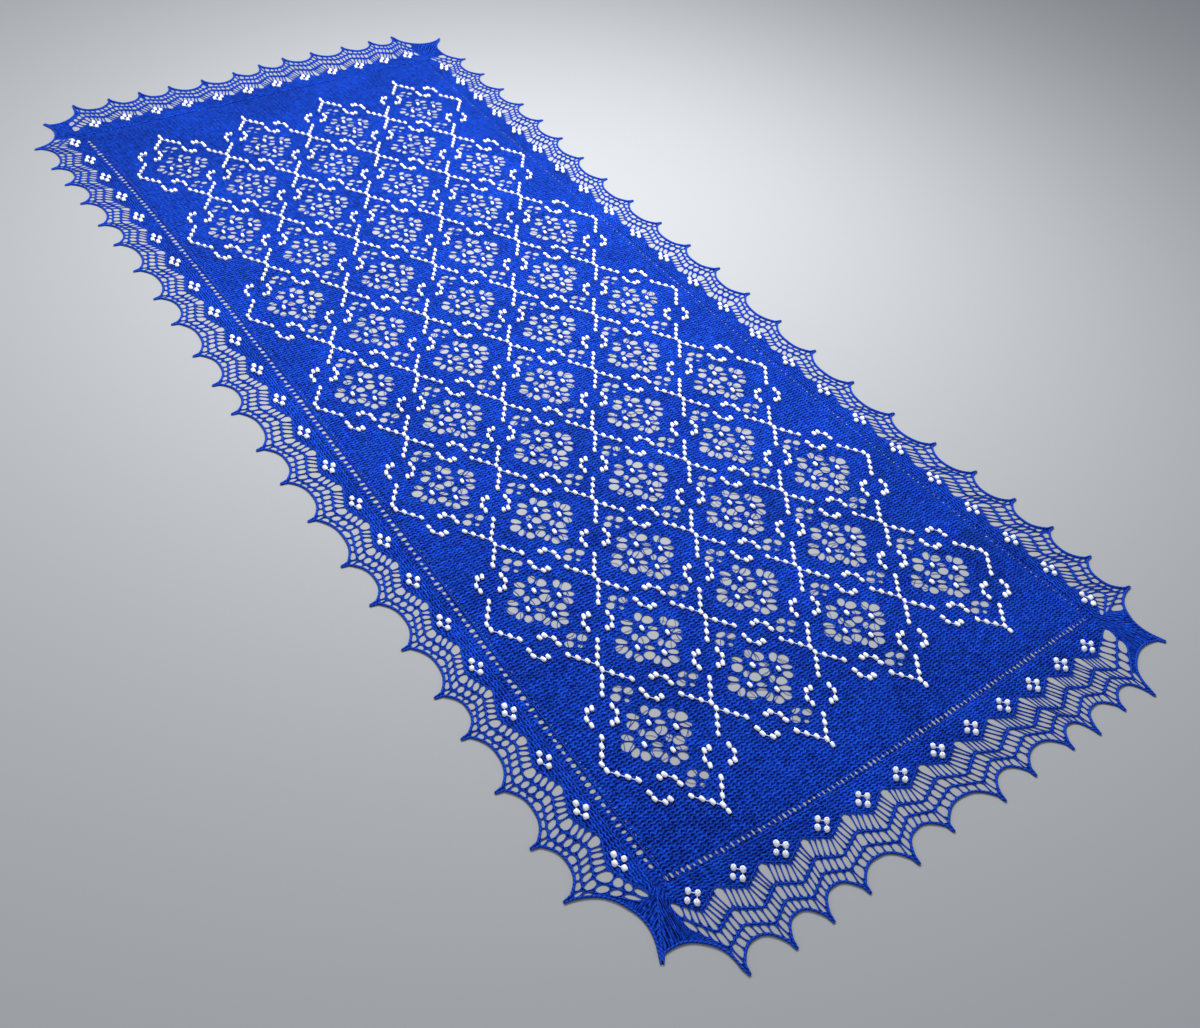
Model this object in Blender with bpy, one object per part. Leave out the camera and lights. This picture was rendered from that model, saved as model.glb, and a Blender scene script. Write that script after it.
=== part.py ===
"""Knitted lace shawl laid flat, built as its knitted pieces.

A long centre panel holds a trellis of diamonds with an open lace flower in each. Four lengths of
scalloped edging frame it and meet on the slant at the corners. X runs across the shawl, Y along
it, and the underside lies at Z = 0.
"""

from collections import namedtuple
from math import cos, pi, sin

import bmesh
import bpy
import numpy as np
from mathutils import Matrix, Vector
from mathutils.geometry import delaunay_2d_cdt

# Driving sizes, in metres.
MM = 0.001
SEAM_GAP = 0.3 * MM              # clear space where two knitted pieces join

# Where two seams meet at a corner of the panel, and the tip that the edging is pinned to there, in
# millimetres from the middle of the trellis.
Corner = namedtuple("Corner", "seam tip")
NEAR_LEFT = Corner((-256.0, -619.0), (-288.0, -669.0))
NEAR_RIGHT = Corner((265.0, -616.0), (301.0, -672.0))
FAR_RIGHT = Corner((253.0, 640.0), (306.0, 693.0))
FAR_LEFT = Corner((-263.0, 625.0), (-291.0, 674.0))

# Thickness of the cloth above its flat underside.
PANEL_THICK = 1.6 * MM
BAND_THICK = 2.0 * MM            # dense band between the eyelet line and the open ladders
LACE_THICK = 1.4 * MM            # ladders of single strands
CORD_THICK = 2.3 * MM            # raised zigzag cords across the ladders
RIM_THICK = 2.6 * MM             # bound-off edge that runs round every scallop

# Diamond trellis on the stitch grid.
STITCH = 5.2 * MM
ROW = 3.52 * MM
DIAMOND_WIDTH = 22 * STITCH
DIAMOND_LENGTH = 48 * ROW
DIAMONDS_ACROSS = 4
DIAMONDS_ALONG = 7

# Uneven pull of the blocked panel: how far the trellis bows and sways sideways, spreads, skews,
# closes up towards its ends and is pulled nearer in waves. Each turn is where its pull changes sides.
TRELLIS_BOW = 4.8 * MM
BOW_TURN = 0.49
TRELLIS_SWAY = 8.6 * MM
SWAY_TURN = 0.68
TRELLIS_SPREAD = 2.3 * MM
TRELLIS_SKEW = 9.2 * MM
SKEW_TURN = 0.23
TRELLIS_CLOSING = 11.7 * MM
CLOSING_TURN = 0.49
TRELLIS_WAVE = 1.9 * MM
WAVE_START = 0.8                 # radians into the wave at the middle
WAVE_TURN = 0.84

# Four open petals round the middle of each flower.
PETAL_OFFSET = (8.3 * MM, 7.3 * MM)
PETAL_HALF_SPAN = 7.2 * MM       # across the diagonal that the petal stands on
PETAL_HALF_WIDTH = 5.4 * MM      # along that diagonal

# Edging lines: millimetres out from the seam at the top of a zigzag, at its foot below a bead flower
# and at the corner wedge, and the share of a pinned tip's pull that the line takes.
Line = namedtuple("Line", "peak valley corner follow")
Profile = namedtuple("Profile", "tips pitch band cord_1 cord_2 scallop_top root tail wedge")
SHORT_PROFILE = Profile(
    tips=12, pitch=42.0,
    band=Line(18.5, 30.5, 12.0, 0.1),
    cord_1=Line(37.5, 48.5, 27.0, 0.5),
    cord_2=Line(50.0, 60.5, 39.0, 0.9),
    scallop_top=62.0, root=76.5, tail=84.0,
    wedge=0.0,                   # from the panel's corner to the side of the dense wedge
)
LONG_PROFILE = Profile(
    tips=23, pitch=54.0,
    band=Line(10.5, 21.5, 6.0, 0.1),
    cord_1=Line(22.0, 32.5, 11.5, 0.5),
    cord_2=Line(31.0, 42.0, 17.0, 0.9),
    scallop_top=39.5, root=51.5, tail=59.0,
    wedge=-3.0,
)

# How each side came off the blocking pins, in millimetres. A lean is a change towards the side's end.
# The waist draws the seam in, the slide and crowding move the scallops along, the fan moves the tips
# on from their flowers, and the tilt and flare move them outwards. The pins themselves stand a little
# off those places, in waves: the size, the radians from tip to tip and the start of each.
Wave = namedtuple("Wave", "size turn start")
Blocking = namedtuple("Blocking", "waist waist_lean slide crowding crowding_lean fan fan_lean tilt flare "
                                  "pins_along pins_out")
NEAR_BLOCKING = Blocking(
    waist=-9.0, waist_lean=4.0, slide=-11.0, crowding=4.0, crowding_lean=8.0,
    fan=7.0, fan_lean=14.0, tilt=-1.0, flare=6.0,
    pins_along=(Wave(7.9, 0.8, 2.1), Wave(3.6, 2.8, -2.5)),
    pins_out=(Wave(2.4, 2.6, -2.2), Wave(1.9, 0.7, 1.0)),
)
RIGHT_BLOCKING = Blocking(
    waist=13.0, waist_lean=-2.0, slide=-9.0, crowding=-8.0, crowding_lean=54.0,
    fan=5.0, fan_lean=19.0, tilt=-2.0, flare=4.0,
    pins_along=(Wave(6.0, 0.4, 3.2), Wave(4.1, 0.8, 0.5)),
    pins_out=(Wave(3.7, 0.8, -0.7), Wave(2.6, 0.35, 2.2)),
)
FAR_BLOCKING = Blocking(
    waist=0.0, waist_lean=1.0, slide=-4.0, crowding=-2.0, crowding_lean=12.0,
    fan=-3.0, fan_lean=9.0, tilt=-5.0, flare=0.0,
    pins_along=(Wave(3.3, 1.45, 2.7), Wave(3.0, 0.7, -0.7)),
    pins_out=(Wave(4.4, 0.75, -0.9), Wave(2.0, 1.5, 1.7)),
)
LEFT_BLOCKING = Blocking(
    waist=9.0, waist_lean=-8.0, slide=-6.0, crowding=-16.0, crowding_lean=33.0,
    fan=0.0, fan_lean=10.0, tilt=2.0, flare=2.0,
    pins_along=(Wave(3.7, 0.8, 1.0), Wave(3.4, 2.25, -0.8)),
    pins_out=(Wave(2.4, 0.45, 3.5), Wave(1.9, 0.6, 0.15)),
)

# Small forms of the edging.
SCALLOP_POWER = 2.5              # roundness of the arc between two tips
SCALLOP_STEPS = (0.12, 0.3, 0.5, 0.7, 0.88)
CORNER_DEPTH_SHARE = 0.24        # depth of a corner scallop over its chord
RIM_WIDTH = 2.2 * MM
RIM_WIDTH_AT_TIP = 3.5 * MM
CORD_HALF_WIDTH = 1.2 * MM
TAIL_HALF_WIDTH = 1.0 * MM
ROOT_HALF_WIDTH = 1.6 * MM       # half the width of a tail where the two rims join
CORNER_TAIL = 8.0 * MM
BAND_STEP = 1.3 * MM             # slope from the dense band down to the ladders
WEDGE_SLOPE = 2.6                # the same slope's drop for each millimetre in from the wedge
WEDGE_MARGIN = 3.0 * MM          # the wedge's side stops this far past the outer cord
CORD_END_BACK = 2.5 * MM         # the zigzag cords stop this far short of the wedge
GAP_HALF_WIDTH = 4.2 * MM        # widest ladder gap, at the top of each zigzag
GAP_MARGIN = 1.2 * MM            # lace left between that gap and the cords
# Corners of a gap: shares of its half width, and of its length from top to foot.
GAP_RIM = ((0.0, 0.0), (1.0, 0.32), (0.8, 0.68), (0.0, 1.0), (-0.8, 0.68), (-1.0, 0.32))

WOOL_BLUE = (0.008, 0.035, 0.42, 1.0)
WOOL_ROUGHNESS = 0.88


def clear_scene():
    for old in list(bpy.data.objects):
        bpy.data.objects.remove(old, do_unlink=True)


def wool(name):
    material = bpy.data.materials.new(name)
    material.use_nodes = True
    shader = material.node_tree.nodes["Principled BSDF"]
    shader.inputs["Base Color"].default_value = WOOL_BLUE
    shader.inputs["Roughness"].default_value = WOOL_ROUGHNESS
    shader.inputs["Metallic"].default_value = 0.0
    material.diffuse_color = WOOL_BLUE
    return material


# ---------------------------------------------------------------- closed walls

def inside(points, loops):
    """Whether each point lies on the cloth: within an odd number of the loops."""
    count = np.zeros(len(points), dtype=int)
    px, py = points[:, :1], points[:, 1:]
    for loop in loops:
        start = np.array([(p[0], p[1]) for p in loop])
        end = np.roll(start, -1, axis=0)
        crosses = (start[:, 1] > py) != (end[:, 1] > py)
        rise = np.where(end[:, 1] == start[:, 1], 1.0, end[:, 1] - start[:, 1])
        x_at = start[:, 0] + (py - start[:, 1]) / rise * (end[:, 0] - start[:, 0])
        count += (crosses & (px < x_at)).sum(axis=1)
    return count % 2 == 1


def triangulate(loops, lines):
    """Triangles over the cloth: their points, their corners and each loop's point numbers."""
    points, edges, numbers = [], [], []
    for loop in loops:
        first = len(points)
        points.extend(loop)
        numbers.append(list(range(first, len(points))))
        edges.extend(zip(numbers[-1], numbers[-1][1:] + [first]))
    for line in lines:
        first = len(points)
        points.extend(line)
        edges.extend((i, i + 1) for i in range(first, len(points) - 1))
    plan = [Vector((p[0], p[1])) for p in points]
    out, _, faces, origin, _, _ = delaunay_2d_cdt(plan, edges, [], 0, 1e-6, True)
    placed, place = [], {}
    for number, sources in enumerate(origin):
        if not sources:
            raise ValueError(f"two lines cross at {out[number].x:.4f}, {out[number].y:.4f}")
        placed.append((out[number].x, out[number].y, points[sources[0]][2]))
        place.update((source, number) for source in sources)
    middles = np.array([np.mean([placed[i][:2] for i in face], axis=0) for face in faces])
    kept = [face for face, within in zip(faces, inside(middles, loops)) if within]
    return placed, kept, [[place[i] for i in loop] for loop in numbers]


def knitted_wall(name, outline, gaps, relief):
    """A closed wall on the floor, cut through at the gaps, with relief lines on its upper face."""
    loops = [outline, *gaps]
    body = bmesh.new()
    layers = []
    for lines, is_top in ((relief, True), ([], False)):
        points, faces, loop_numbers = triangulate(loops, lines)
        used = sorted({i for face in faces for i in face})
        corners = {i: body.verts.new((*points[i][:2], points[i][2] if is_top else 0.0)) for i in used}
        for face in faces:
            body.faces.new([corners[i] for i in (face if is_top else reversed(face))])
        layers.append([[corners[i] for i in numbers] for numbers in loop_numbers])
    for upper, lower in zip(*layers):
        for i in range(len(upper)):
            body.faces.new((upper[i], upper[i - 1], lower[i - 1], lower[i]))
    bmesh.ops.recalc_face_normals(body, faces=body.faces)
    mesh = bpy.data.meshes.new(name)
    body.to_mesh(mesh)
    body.free()
    mesh.materials.append(wool(name + "_wool"))
    piece = bpy.data.objects.new(name, mesh)
    bpy.context.collection.objects.link(piece)
    return piece


def at_height(points, height):
    return [(p.x, p.y, height) for p in points]


# ---------------------------------------------------------------- sides of the shawl

def waves(pins, place):
    return sum(pin.size * sin(pin.turn * place + pin.start) for pin in pins) * MM


class Side:
    """One side of the frame: s runs along its seam from corner to corner, and d outwards from it."""

    def __init__(self, name, opening, closing, profile, blocking):
        self.name = name
        self.corners = (opening, closing)
        self.profile = profile
        self.blocking = blocking
        start, end = (Vector(corner.seam) * MM for corner in self.corners)
        self.middle = (start + end) / 2
        self.half = (end - start).length / 2
        self.along = (end - start).normalized()
        self.outward = Vector((self.along.y, -self.along.x))

    def point(self, s, d):
        v = max(-1.0, min(1.0, s / self.half))
        drawn_in = (1.0 - v * v) * (self.blocking.waist + self.blocking.waist_lean * v) * MM
        return self.middle + self.along * s + self.outward * (d - drawn_in)

    def seam(self, clearance):
        """Points along the seam between its two corners, moved outwards by a clearance."""
        step = 2 * self.half / self.profile.tips
        return [self.point(k * step - self.half, clearance) for k in range(1, self.profile.tips)]

    def flower(self, k):
        """Place along the side of bead flower k, which has a scallop tip beyond it."""
        regular = (k - (self.profile.tips - 1) / 2) * self.profile.pitch * MM
        v = regular / self.half
        crowded = (1.0 - v * v) * (self.blocking.crowding + self.blocking.crowding_lean * v)
        return regular + (self.blocking.slide + crowded) * MM

    def pull(self, k):
        """How far tip k is pinned off its regular place, along the side and outwards."""
        v = self.flower(k) / self.half
        blocking = self.blocking
        shift = (blocking.fan + blocking.fan_lean * v) * MM + waves(blocking.pins_along, k)
        out = (blocking.tilt * v + blocking.flare * v ** 4) * MM + waves(blocking.pins_out, k)
        return shift, out

    def pulled(self, k, d, follow):
        """Point below bead flower k, or halfway between two flowers for a k that ends in a half."""
        near, far = self.pull(int(k)), self.pull(int(k + 0.5))
        shift, out = ((a + b) / 2 * follow for a, b in zip(near, far))
        return self.point(self.flower(k) + shift, d * MM + out)


# ---------------------------------------------------------------- centre panel

def trellis_point(x, y):
    """Where a point of the regular trellis lies in the blocked panel."""
    u = x / (DIAMONDS_ACROSS * DIAMOND_WIDTH / 2)
    v = y / (DIAMONDS_ALONG * DIAMOND_LENGTH / 2)
    swayed = x + TRELLIS_SWAY * v * (SWAY_TURN - v * v) + TRELLIS_BOW * (v * v - BOW_TURN)
    closed = y + TRELLIS_CLOSING * v * (CLOSING_TURN - v * v) + TRELLIS_SKEW * u * (v * v - SKEW_TURN)
    nearer = TRELLIS_WAVE * (sin(2 * pi * v + WAVE_START) + WAVE_TURN)
    return Vector((swayed + TRELLIS_SPREAD * u, closed - nearer))


def diamond_centres():
    """Full rows of diamonds, and the rows of one fewer that fill in between them."""
    for row in range(2 * DIAMONDS_ALONG - 1):
        across = DIAMONDS_ACROSS - row % 2
        y = (row - (DIAMONDS_ALONG - 1)) * DIAMOND_LENGTH / 2
        for column in range(across):
            yield (column - (across - 1) / 2) * DIAMOND_WIDTH, y


def petal_gap(centre, side_x, side_y):
    """Six-sided gap on a diagonal of the flower, pointed towards the two petals beside it."""
    middle = centre + Vector((side_x * PETAL_OFFSET[0], side_y * PETAL_OFFSET[1]))
    across = Vector((-side_y * PETAL_OFFSET[1], side_x * PETAL_OFFSET[0])).normalized()
    along = Vector((-across.y, across.x))
    loop = []
    for step in range(6):
        turn = 2 * pi * step / 6
        loop.append(middle + across * PETAL_HALF_SPAN * cos(turn) + along * PETAL_HALF_WIDTH * sin(turn))
    return at_height(loop, PANEL_THICK)


def centre_panel(sides):
    """The panel inside four sides, which follow each other round it."""
    outline = []
    for side, following in zip(sides, sides[1:] + sides[:1]):
        outline.extend(side.seam(-SEAM_GAP / 2))
        corner = Vector(side.corners[1].seam) * MM
        outline.append(corner - (side.outward + following.outward) * SEAM_GAP / 2)
    gaps = []
    for x, y in diamond_centres():
        centre = trellis_point(x, y)
        gaps.extend(petal_gap(centre, sx, sy) for sx in (-1, 1) for sy in (-1, 1))
    return knitted_wall("centre_panel", at_height(outline, PANEL_THICK), gaps, [])


# ---------------------------------------------------------------- edgings

def scallop(start, end, depth, outward):
    """Points of the concave arc between two tips, without its ends, and the way it is hollow."""
    chord = end - start
    inward = Vector((-chord.y, chord.x)).normalized()
    if inward.dot(outward) > 0:
        inward = -inward
    arc = []
    for t in SCALLOP_STEPS:
        share = 1.0 - abs(2.0 * t - 1.0) ** SCALLOP_POWER
        arc.append(start + chord * t + inward * depth * share)
    return arc, inward


def corner_points(side, end):
    """This side's half of a corner: from the eyelet line along the mitre and round the tail."""
    start, tip = (Vector(place) * MM for place in side.corners[end > 0])
    mitre = (tip - start).normalized()
    into = Vector((-mitre.y, mitre.x))
    if into.dot(side.along) * end > 0:
        into = -into
    half_gap = SEAM_GAP / 2
    step = half_gap * (1.0 - into.dot(side.outward)) / mitre.dot(side.outward)
    seam = [start + into * half_gap + mitre * step, tip + into * half_gap]
    tail = [tip + into * TAIL_HALF_WIDTH, tip - mitre * CORNER_TAIL + into * ROOT_HALF_WIDTH]
    return at_height(seam[:1], BAND_THICK) + at_height(seam[1:] + tail, RIM_THICK), tail[-1]


def outer_edge(side):
    """Outline from one mitre round the scallops to the other, and the inner foot of its rim."""
    profile = side.profile
    depth = (profile.root - profile.scallop_top) * MM
    step = side.along * ROOT_HALF_WIDTH
    outline, start = corner_points(side, -1)
    closing, last = corner_points(side, 1)
    foot = []
    for k in range(profile.tips + 1):
        root = side.pulled(k, profile.root, 1.0)
        end = last if k == profile.tips else root - step
        at_corner = k in (0, profile.tips)
        arc_depth = (end - start).length * CORNER_DEPTH_SHARE if at_corner else depth
        arc, inward = scallop(start, end, arc_depth, side.outward)
        outline.extend(at_height(arc, RIM_THICK))
        foot.extend(point + inward * RIM_WIDTH for point in arc)
        if k == 0:
            foot.pop(0)                  # the rim's slope runs out before the mitre
        if k == profile.tips:
            foot.pop()
            break
        tail = root + side.outward * (profile.tail - profile.root) * MM
        sides = [end, tail - side.along * TAIL_HALF_WIDTH, tail + side.along * TAIL_HALF_WIDTH, root + step]
        outline.extend(at_height(sides, RIM_THICK))
        foot.append(root - side.outward * RIM_WIDTH_AT_TIP)
        start = sides[-1]
    return outline + closing[::-1], foot


def zigzag(side, line, offset=0.0, short_of=0.0):
    """Zigzag across the edging, high between the bead flowers and low under each of them."""
    end = side.half - side.profile.wedge * MM - short_of
    corner = line.corner * MM + offset
    run = [side.point(-end, corner)]
    for k in range(side.profile.tips):
        if k:
            run.append(side.pulled(k - 0.5, line.peak + offset / MM, line.follow))
        run.append(side.pulled(k, line.valley + offset / MM, line.follow))
    run.append(side.point(end, corner))
    return run


def band_edge(side, offset):
    """Edge of the dense band, carried on down both corner wedges."""
    profile = side.profile
    run = zigzag(side, profile.band, offset)[1:-1]
    shoulder = profile.band.corner * MM + WEDGE_SLOPE * offset
    wedge = profile.cord_2.corner * MM + WEDGE_MARGIN
    end = side.half - profile.wedge * MM - offset
    opening = [side.point(-end, wedge), side.point(-end, shoulder)]
    closing = [side.point(end, shoulder), side.point(end, wedge)]
    return opening + run + closing


def ladder_gap(side, top, foot):
    """Tall six-sided gap from a point below the band to one above the first cord."""
    return at_height([top + (foot - top) * down + side.along * across * GAP_HALF_WIDTH
                      for across, down in GAP_RIM], LACE_THICK)


def ladder_gaps(side):
    """The widest gap of each repeat, at the top of the zigzag between two bead flowers."""
    profile = side.profile
    below_band = BAND_STEP + GAP_MARGIN
    above_cord = -CORD_HALF_WIDTH - GAP_MARGIN
    gaps = []
    for k in range(1, profile.tips):
        top = side.pulled(k - 0.5, profile.band.peak + below_band / MM, profile.band.follow)
        foot = side.pulled(k - 0.5, profile.cord_1.peak + above_cord / MM, profile.cord_1.follow)
        gaps.append(ladder_gap(side, top, foot))
    return gaps


def edging(side):
    outline, foot = outer_edge(side)
    outline += at_height(side.seam(SEAM_GAP / 2)[::-1], BAND_THICK)
    relief = [at_height(foot, LACE_THICK),
              at_height(band_edge(side, 0.0), BAND_THICK),
              at_height(band_edge(side, BAND_STEP), LACE_THICK)]
    for cord in (side.profile.cord_1, side.profile.cord_2):
        relief.append(at_height(zigzag(side, cord, -CORD_HALF_WIDTH, CORD_END_BACK), LACE_THICK))
        relief.append(at_height(zigzag(side, cord, 0.0, CORD_END_BACK), CORD_THICK))
        relief.append(at_height(zigzag(side, cord, CORD_HALF_WIDTH, CORD_END_BACK), LACE_THICK))
    return knitted_wall(side.name, outline, ladder_gaps(side), relief)


def put_middle_on_origin(pieces):
    """Move the pieces so that the middle of their outline lies on the origin."""
    corners = [vertex.co for piece in pieces for vertex in piece.data.vertices]
    middle = [(min(c[axis] for c in corners) + max(c[axis] for c in corners)) / 2 for axis in (0, 1)]
    for piece in pieces:
        piece.data.transform(Matrix.Translation((-middle[0], -middle[1], 0.0)))


clear_scene()
sides = [
    Side("edging_near", NEAR_LEFT, NEAR_RIGHT, SHORT_PROFILE, NEAR_BLOCKING),
    Side("edging_right", NEAR_RIGHT, FAR_RIGHT, LONG_PROFILE, RIGHT_BLOCKING),
    Side("edging_far", FAR_RIGHT, FAR_LEFT, SHORT_PROFILE, FAR_BLOCKING),
    Side("edging_left", FAR_LEFT, NEAR_LEFT, LONG_PROFILE, LEFT_BLOCKING),
]
put_middle_on_origin([centre_panel(sides), *(edging(side) for side in sides)])
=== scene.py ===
"""Knitted lace shawl with white glass beads and a scalloped edging, laid flat."""

from collections import namedtuple
from math import atan2, cos, pi, radians, sin
from random import Random

import bpy
import numpy as np
from mathutils import Matrix, Vector
from mathutils.geometry import delaunay_2d_cdt


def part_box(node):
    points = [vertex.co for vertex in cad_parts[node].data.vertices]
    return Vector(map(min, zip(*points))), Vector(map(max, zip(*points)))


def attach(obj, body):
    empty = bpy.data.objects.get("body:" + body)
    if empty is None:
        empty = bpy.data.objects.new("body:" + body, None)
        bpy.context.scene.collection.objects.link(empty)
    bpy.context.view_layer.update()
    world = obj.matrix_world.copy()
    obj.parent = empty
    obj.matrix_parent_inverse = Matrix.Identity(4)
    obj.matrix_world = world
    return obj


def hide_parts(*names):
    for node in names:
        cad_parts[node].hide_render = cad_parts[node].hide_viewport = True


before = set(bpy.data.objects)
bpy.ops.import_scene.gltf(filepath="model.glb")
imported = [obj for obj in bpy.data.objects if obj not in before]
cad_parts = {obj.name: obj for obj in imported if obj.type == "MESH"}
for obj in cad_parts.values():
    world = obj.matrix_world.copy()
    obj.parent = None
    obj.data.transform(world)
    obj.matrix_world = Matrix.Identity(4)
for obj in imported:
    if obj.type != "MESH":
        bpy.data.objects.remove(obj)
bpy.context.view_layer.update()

# ---------------------------------------------------------------- centre panel
# The panel is knitted back and forth in fine wool, one wavy ridge to a row, and blocked flat.
# Eyelets worked as yarn-overs open a flower in every diamond of the trellis, a small four-hole
# flower above and below it, and a line of holes where the edging is joined on.

MM = 0.001
SEAM_GAP = 0.3 * MM

# Where two joins meet at a corner of the panel, and the tip that the edging is pinned to beyond it,
# in millimetres from the middle of the trellis.
Corner = namedtuple("Corner", "seam tip")
NEAR_LEFT = Corner((-256.0, -619.0), (-288.0, -669.0))
NEAR_RIGHT = Corner((265.0, -616.0), (301.0, -672.0))
FAR_RIGHT = Corner((253.0, 640.0), (306.0, 693.0))
FAR_LEFT = Corner((-263.0, 625.0), (-291.0, 674.0))

panel_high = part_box("centre_panel")[1]
TRELLIS_MIDDLE = (panel_high[0] - NEAR_RIGHT.seam[0] * MM + SEAM_GAP / 2,
                  panel_high[1] - FAR_RIGHT.seam[1] * MM + SEAM_GAP / 2)

STITCH = 5.2 * MM
ROW = 3.52 * MM
DIAMOND_STITCHES = 22
DIAMOND_ROWS = 48
DIAMOND_WIDTH = DIAMOND_STITCHES * STITCH
DIAMOND_LENGTH = DIAMOND_ROWS * ROW
DIAMONDS_ACROSS = 4
DIAMONDS_ALONG = 7
TRELLIS_HALF_WIDTH = DIAMONDS_ACROSS * DIAMOND_WIDTH / 2
TRELLIS_HALF_LENGTH = DIAMONDS_ALONG * DIAMOND_LENGTH / 2

# Uneven pull of the blocked panel: how far the trellis bows and sways sideways, spreads, skews,
# closes up towards its ends and is pulled nearer in waves. Each turn is where its pull changes
# sides.
TRELLIS_BOW = 4.8 * MM
BOW_TURN = 0.49
TRELLIS_SWAY = 8.6 * MM
SWAY_TURN = 0.68
TRELLIS_SPREAD = 2.3 * MM
TRELLIS_SKEW = 9.2 * MM
SKEW_TURN = 0.23
TRELLIS_CLOSING = 11.7 * MM
CLOSING_TURN = 0.49
TRELLIS_WAVE = 1.9 * MM
WAVE_START = 0.8                 # radians into the wave at the middle
WAVE_TURN = 0.84

CLOTH_FLOOR = 0.1 * MM           # clear of the surface it lies on
PANEL_TOP = 1.2 * MM
EYELET_TOP = 0.55 * MM           # the cloth thins at the rim of a hole
TOP_UNEVEN = 0.12 * MM

# Right half of a flower, in millimetres: each knot from the middle of its diamond, and the eyelets
# that fan out from it, by their place from the knot and their half lengths along the ray from the
# knot and across it. The left half mirrors it.
Eyelet = namedtuple("Eyelet", "x y along across")
TOP_KNOT, SIDE_KNOT, FOOT_KNOT = (0.0, 22.0), (16.6, 6.4), (0.0, -10.4)
FLOWER_CHART = (
    (TOP_KNOT, (Eyelet(6.2, 7.4, 4.9, 3.2), Eyelet(11.4, 0.2, 4.9, 4.4))),
    (SIDE_KNOT, (Eyelet(6.4, 7.8, 4.8, 3.1), Eyelet(11.4, 1.0, 4.9, 4.6),
                 Eyelet(9.2, -7.2, 4.8, 2.9), Eyelet(4.4, -14.2, 4.5, 3.7),
                 Eyelet(-6.6, 6.0, 4.0, 2.5), Eyelet(-11.2, -0.8, 4.7, 4.4))),
    (FOOT_KNOT, (Eyelet(6.0, 6.2, 4.1, 2.5), Eyelet(11.3, -0.1, 4.5, 4.3),
                 Eyelet(8.7, -7.7, 4.7, 2.8), Eyelet(4.3, -14.4, 4.5, 3.7))),
)
SMALL_FLOWER = (
    Eyelet(0.0, 4.9, 3.5, 4.7),
    Eyelet(-6.6, -1.4, 4.3, 4.3),
    Eyelet(6.6, -1.4, 4.3, 4.3),
    Eyelet(0.0, -8.4, 2.6, 2.2),
)
SMALL_FLOWER_PLACES = (-47.5, 54.0)     # along the diamond from its middle

random = Random(7)


def either_way(most):
    """A random amount, up to this much either way."""
    return random.uniform(-most, most)


def angles_round(count, start=0.0):
    """Angles spaced evenly round a circle."""
    return 2 * pi * (np.arange(count) + start) / count


def right_of(way, side=1):
    """Square to a way, on its right for 1 and on its left for -1."""
    return side * np.array((way[1], -way[0]))


class Join:
    """A join of the panel: s runs along it from corner to corner, and d outwards from it."""

    def __init__(self, opening, closing, waist, waist_lean):
        self.corners = (opening, closing)
        self.waist = waist               # millimetres that the join is drawn in at mid length
        self.waist_lean = waist_lean     # change of that towards its end
        start, end = (np.array(corner.seam) * MM for corner in self.corners)
        self.middle = (start + end) / 2
        self.half = np.linalg.norm(end - start) / 2
        self.along = (end - start) / (2 * self.half)
        self.outward = right_of(self.along)

    def drawn_in(self, s):
        v = np.clip(s / self.half, -1.0, 1.0)
        return (1.0 - v * v) * (self.waist + self.waist_lean * v) * MM

    def point(self, s, d):
        out = d - self.drawn_in(s)
        return self.middle + np.multiply.outer(s, self.along) + np.multiply.outer(out, self.outward)


NEAR_JOIN = Join(NEAR_LEFT, NEAR_RIGHT, waist=-9.0, waist_lean=4.0)
RIGHT_JOIN = Join(NEAR_RIGHT, FAR_RIGHT, waist=13.0, waist_lean=-2.0)
FAR_JOIN = Join(FAR_RIGHT, FAR_LEFT, waist=0.0, waist_lean=1.0)
LEFT_JOIN = Join(FAR_LEFT, NEAR_LEFT, waist=9.0, waist_lean=-8.0)
JOINS = (NEAR_JOIN, RIGHT_JOIN, FAR_JOIN, LEFT_JOIN)


def trellis_point(x, y):
    """Where a point of the regular trellis lies in the blocked panel."""
    u = x / TRELLIS_HALF_WIDTH
    v = y / TRELLIS_HALF_LENGTH
    swayed = x + TRELLIS_SWAY * v * (SWAY_TURN - v * v) + TRELLIS_BOW * (v * v - BOW_TURN)
    closed = y + TRELLIS_CLOSING * v * (CLOSING_TURN - v * v)
    skewed = closed + TRELLIS_SKEW * u * (v * v - SKEW_TURN)
    nearer = TRELLIS_WAVE * (np.sin(2 * pi * v + WAVE_START) + WAVE_TURN)
    return swayed + TRELLIS_SPREAD * u, skewed - nearer


UNWARP_ROUNDS = 4                # each comes closer to the place before blocking


def chart_place(x, y):
    """The stitch and row of the chart that lie at a point of the blocked panel."""
    regular_x, regular_y = x, y
    for _ in range(UNWARP_ROUNDS):
        warped_x, warped_y = trellis_point(regular_x, regular_y)
        regular_x, regular_y = regular_x + x - warped_x, regular_y + y - warped_y
    return regular_x / STITCH, regular_y / ROW


def diamond_centres():
    """Full rows of diamonds, and the rows of one fewer that fill in between them."""
    for row in range(2 * DIAMONDS_ALONG - 1):
        across = DIAMONDS_ACROSS - row % 2
        y = (row - (DIAMONDS_ALONG - 1)) * DIAMOND_LENGTH / 2
        for column in range(across):
            yield (column - (across - 1) / 2) * DIAMOND_WIDTH, y


Oval = namedtuple("Oval", "middle turn along across")
OVAL_CORNERS = 16
TAPER = 0.16                     # an eyelet is this much wider than an oval at its far end
EYELET_SPREAD = 16 * MM          # eyelets further apart than this never meet
EYELET_OFF = 0.25                # millimetres that an eyelet may lie off its place
EYELET_ALONG = (0.92, 1.04)      # its half lengths, as shares of the charted ones
EYELET_ACROSS = (0.90, 1.04)


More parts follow.
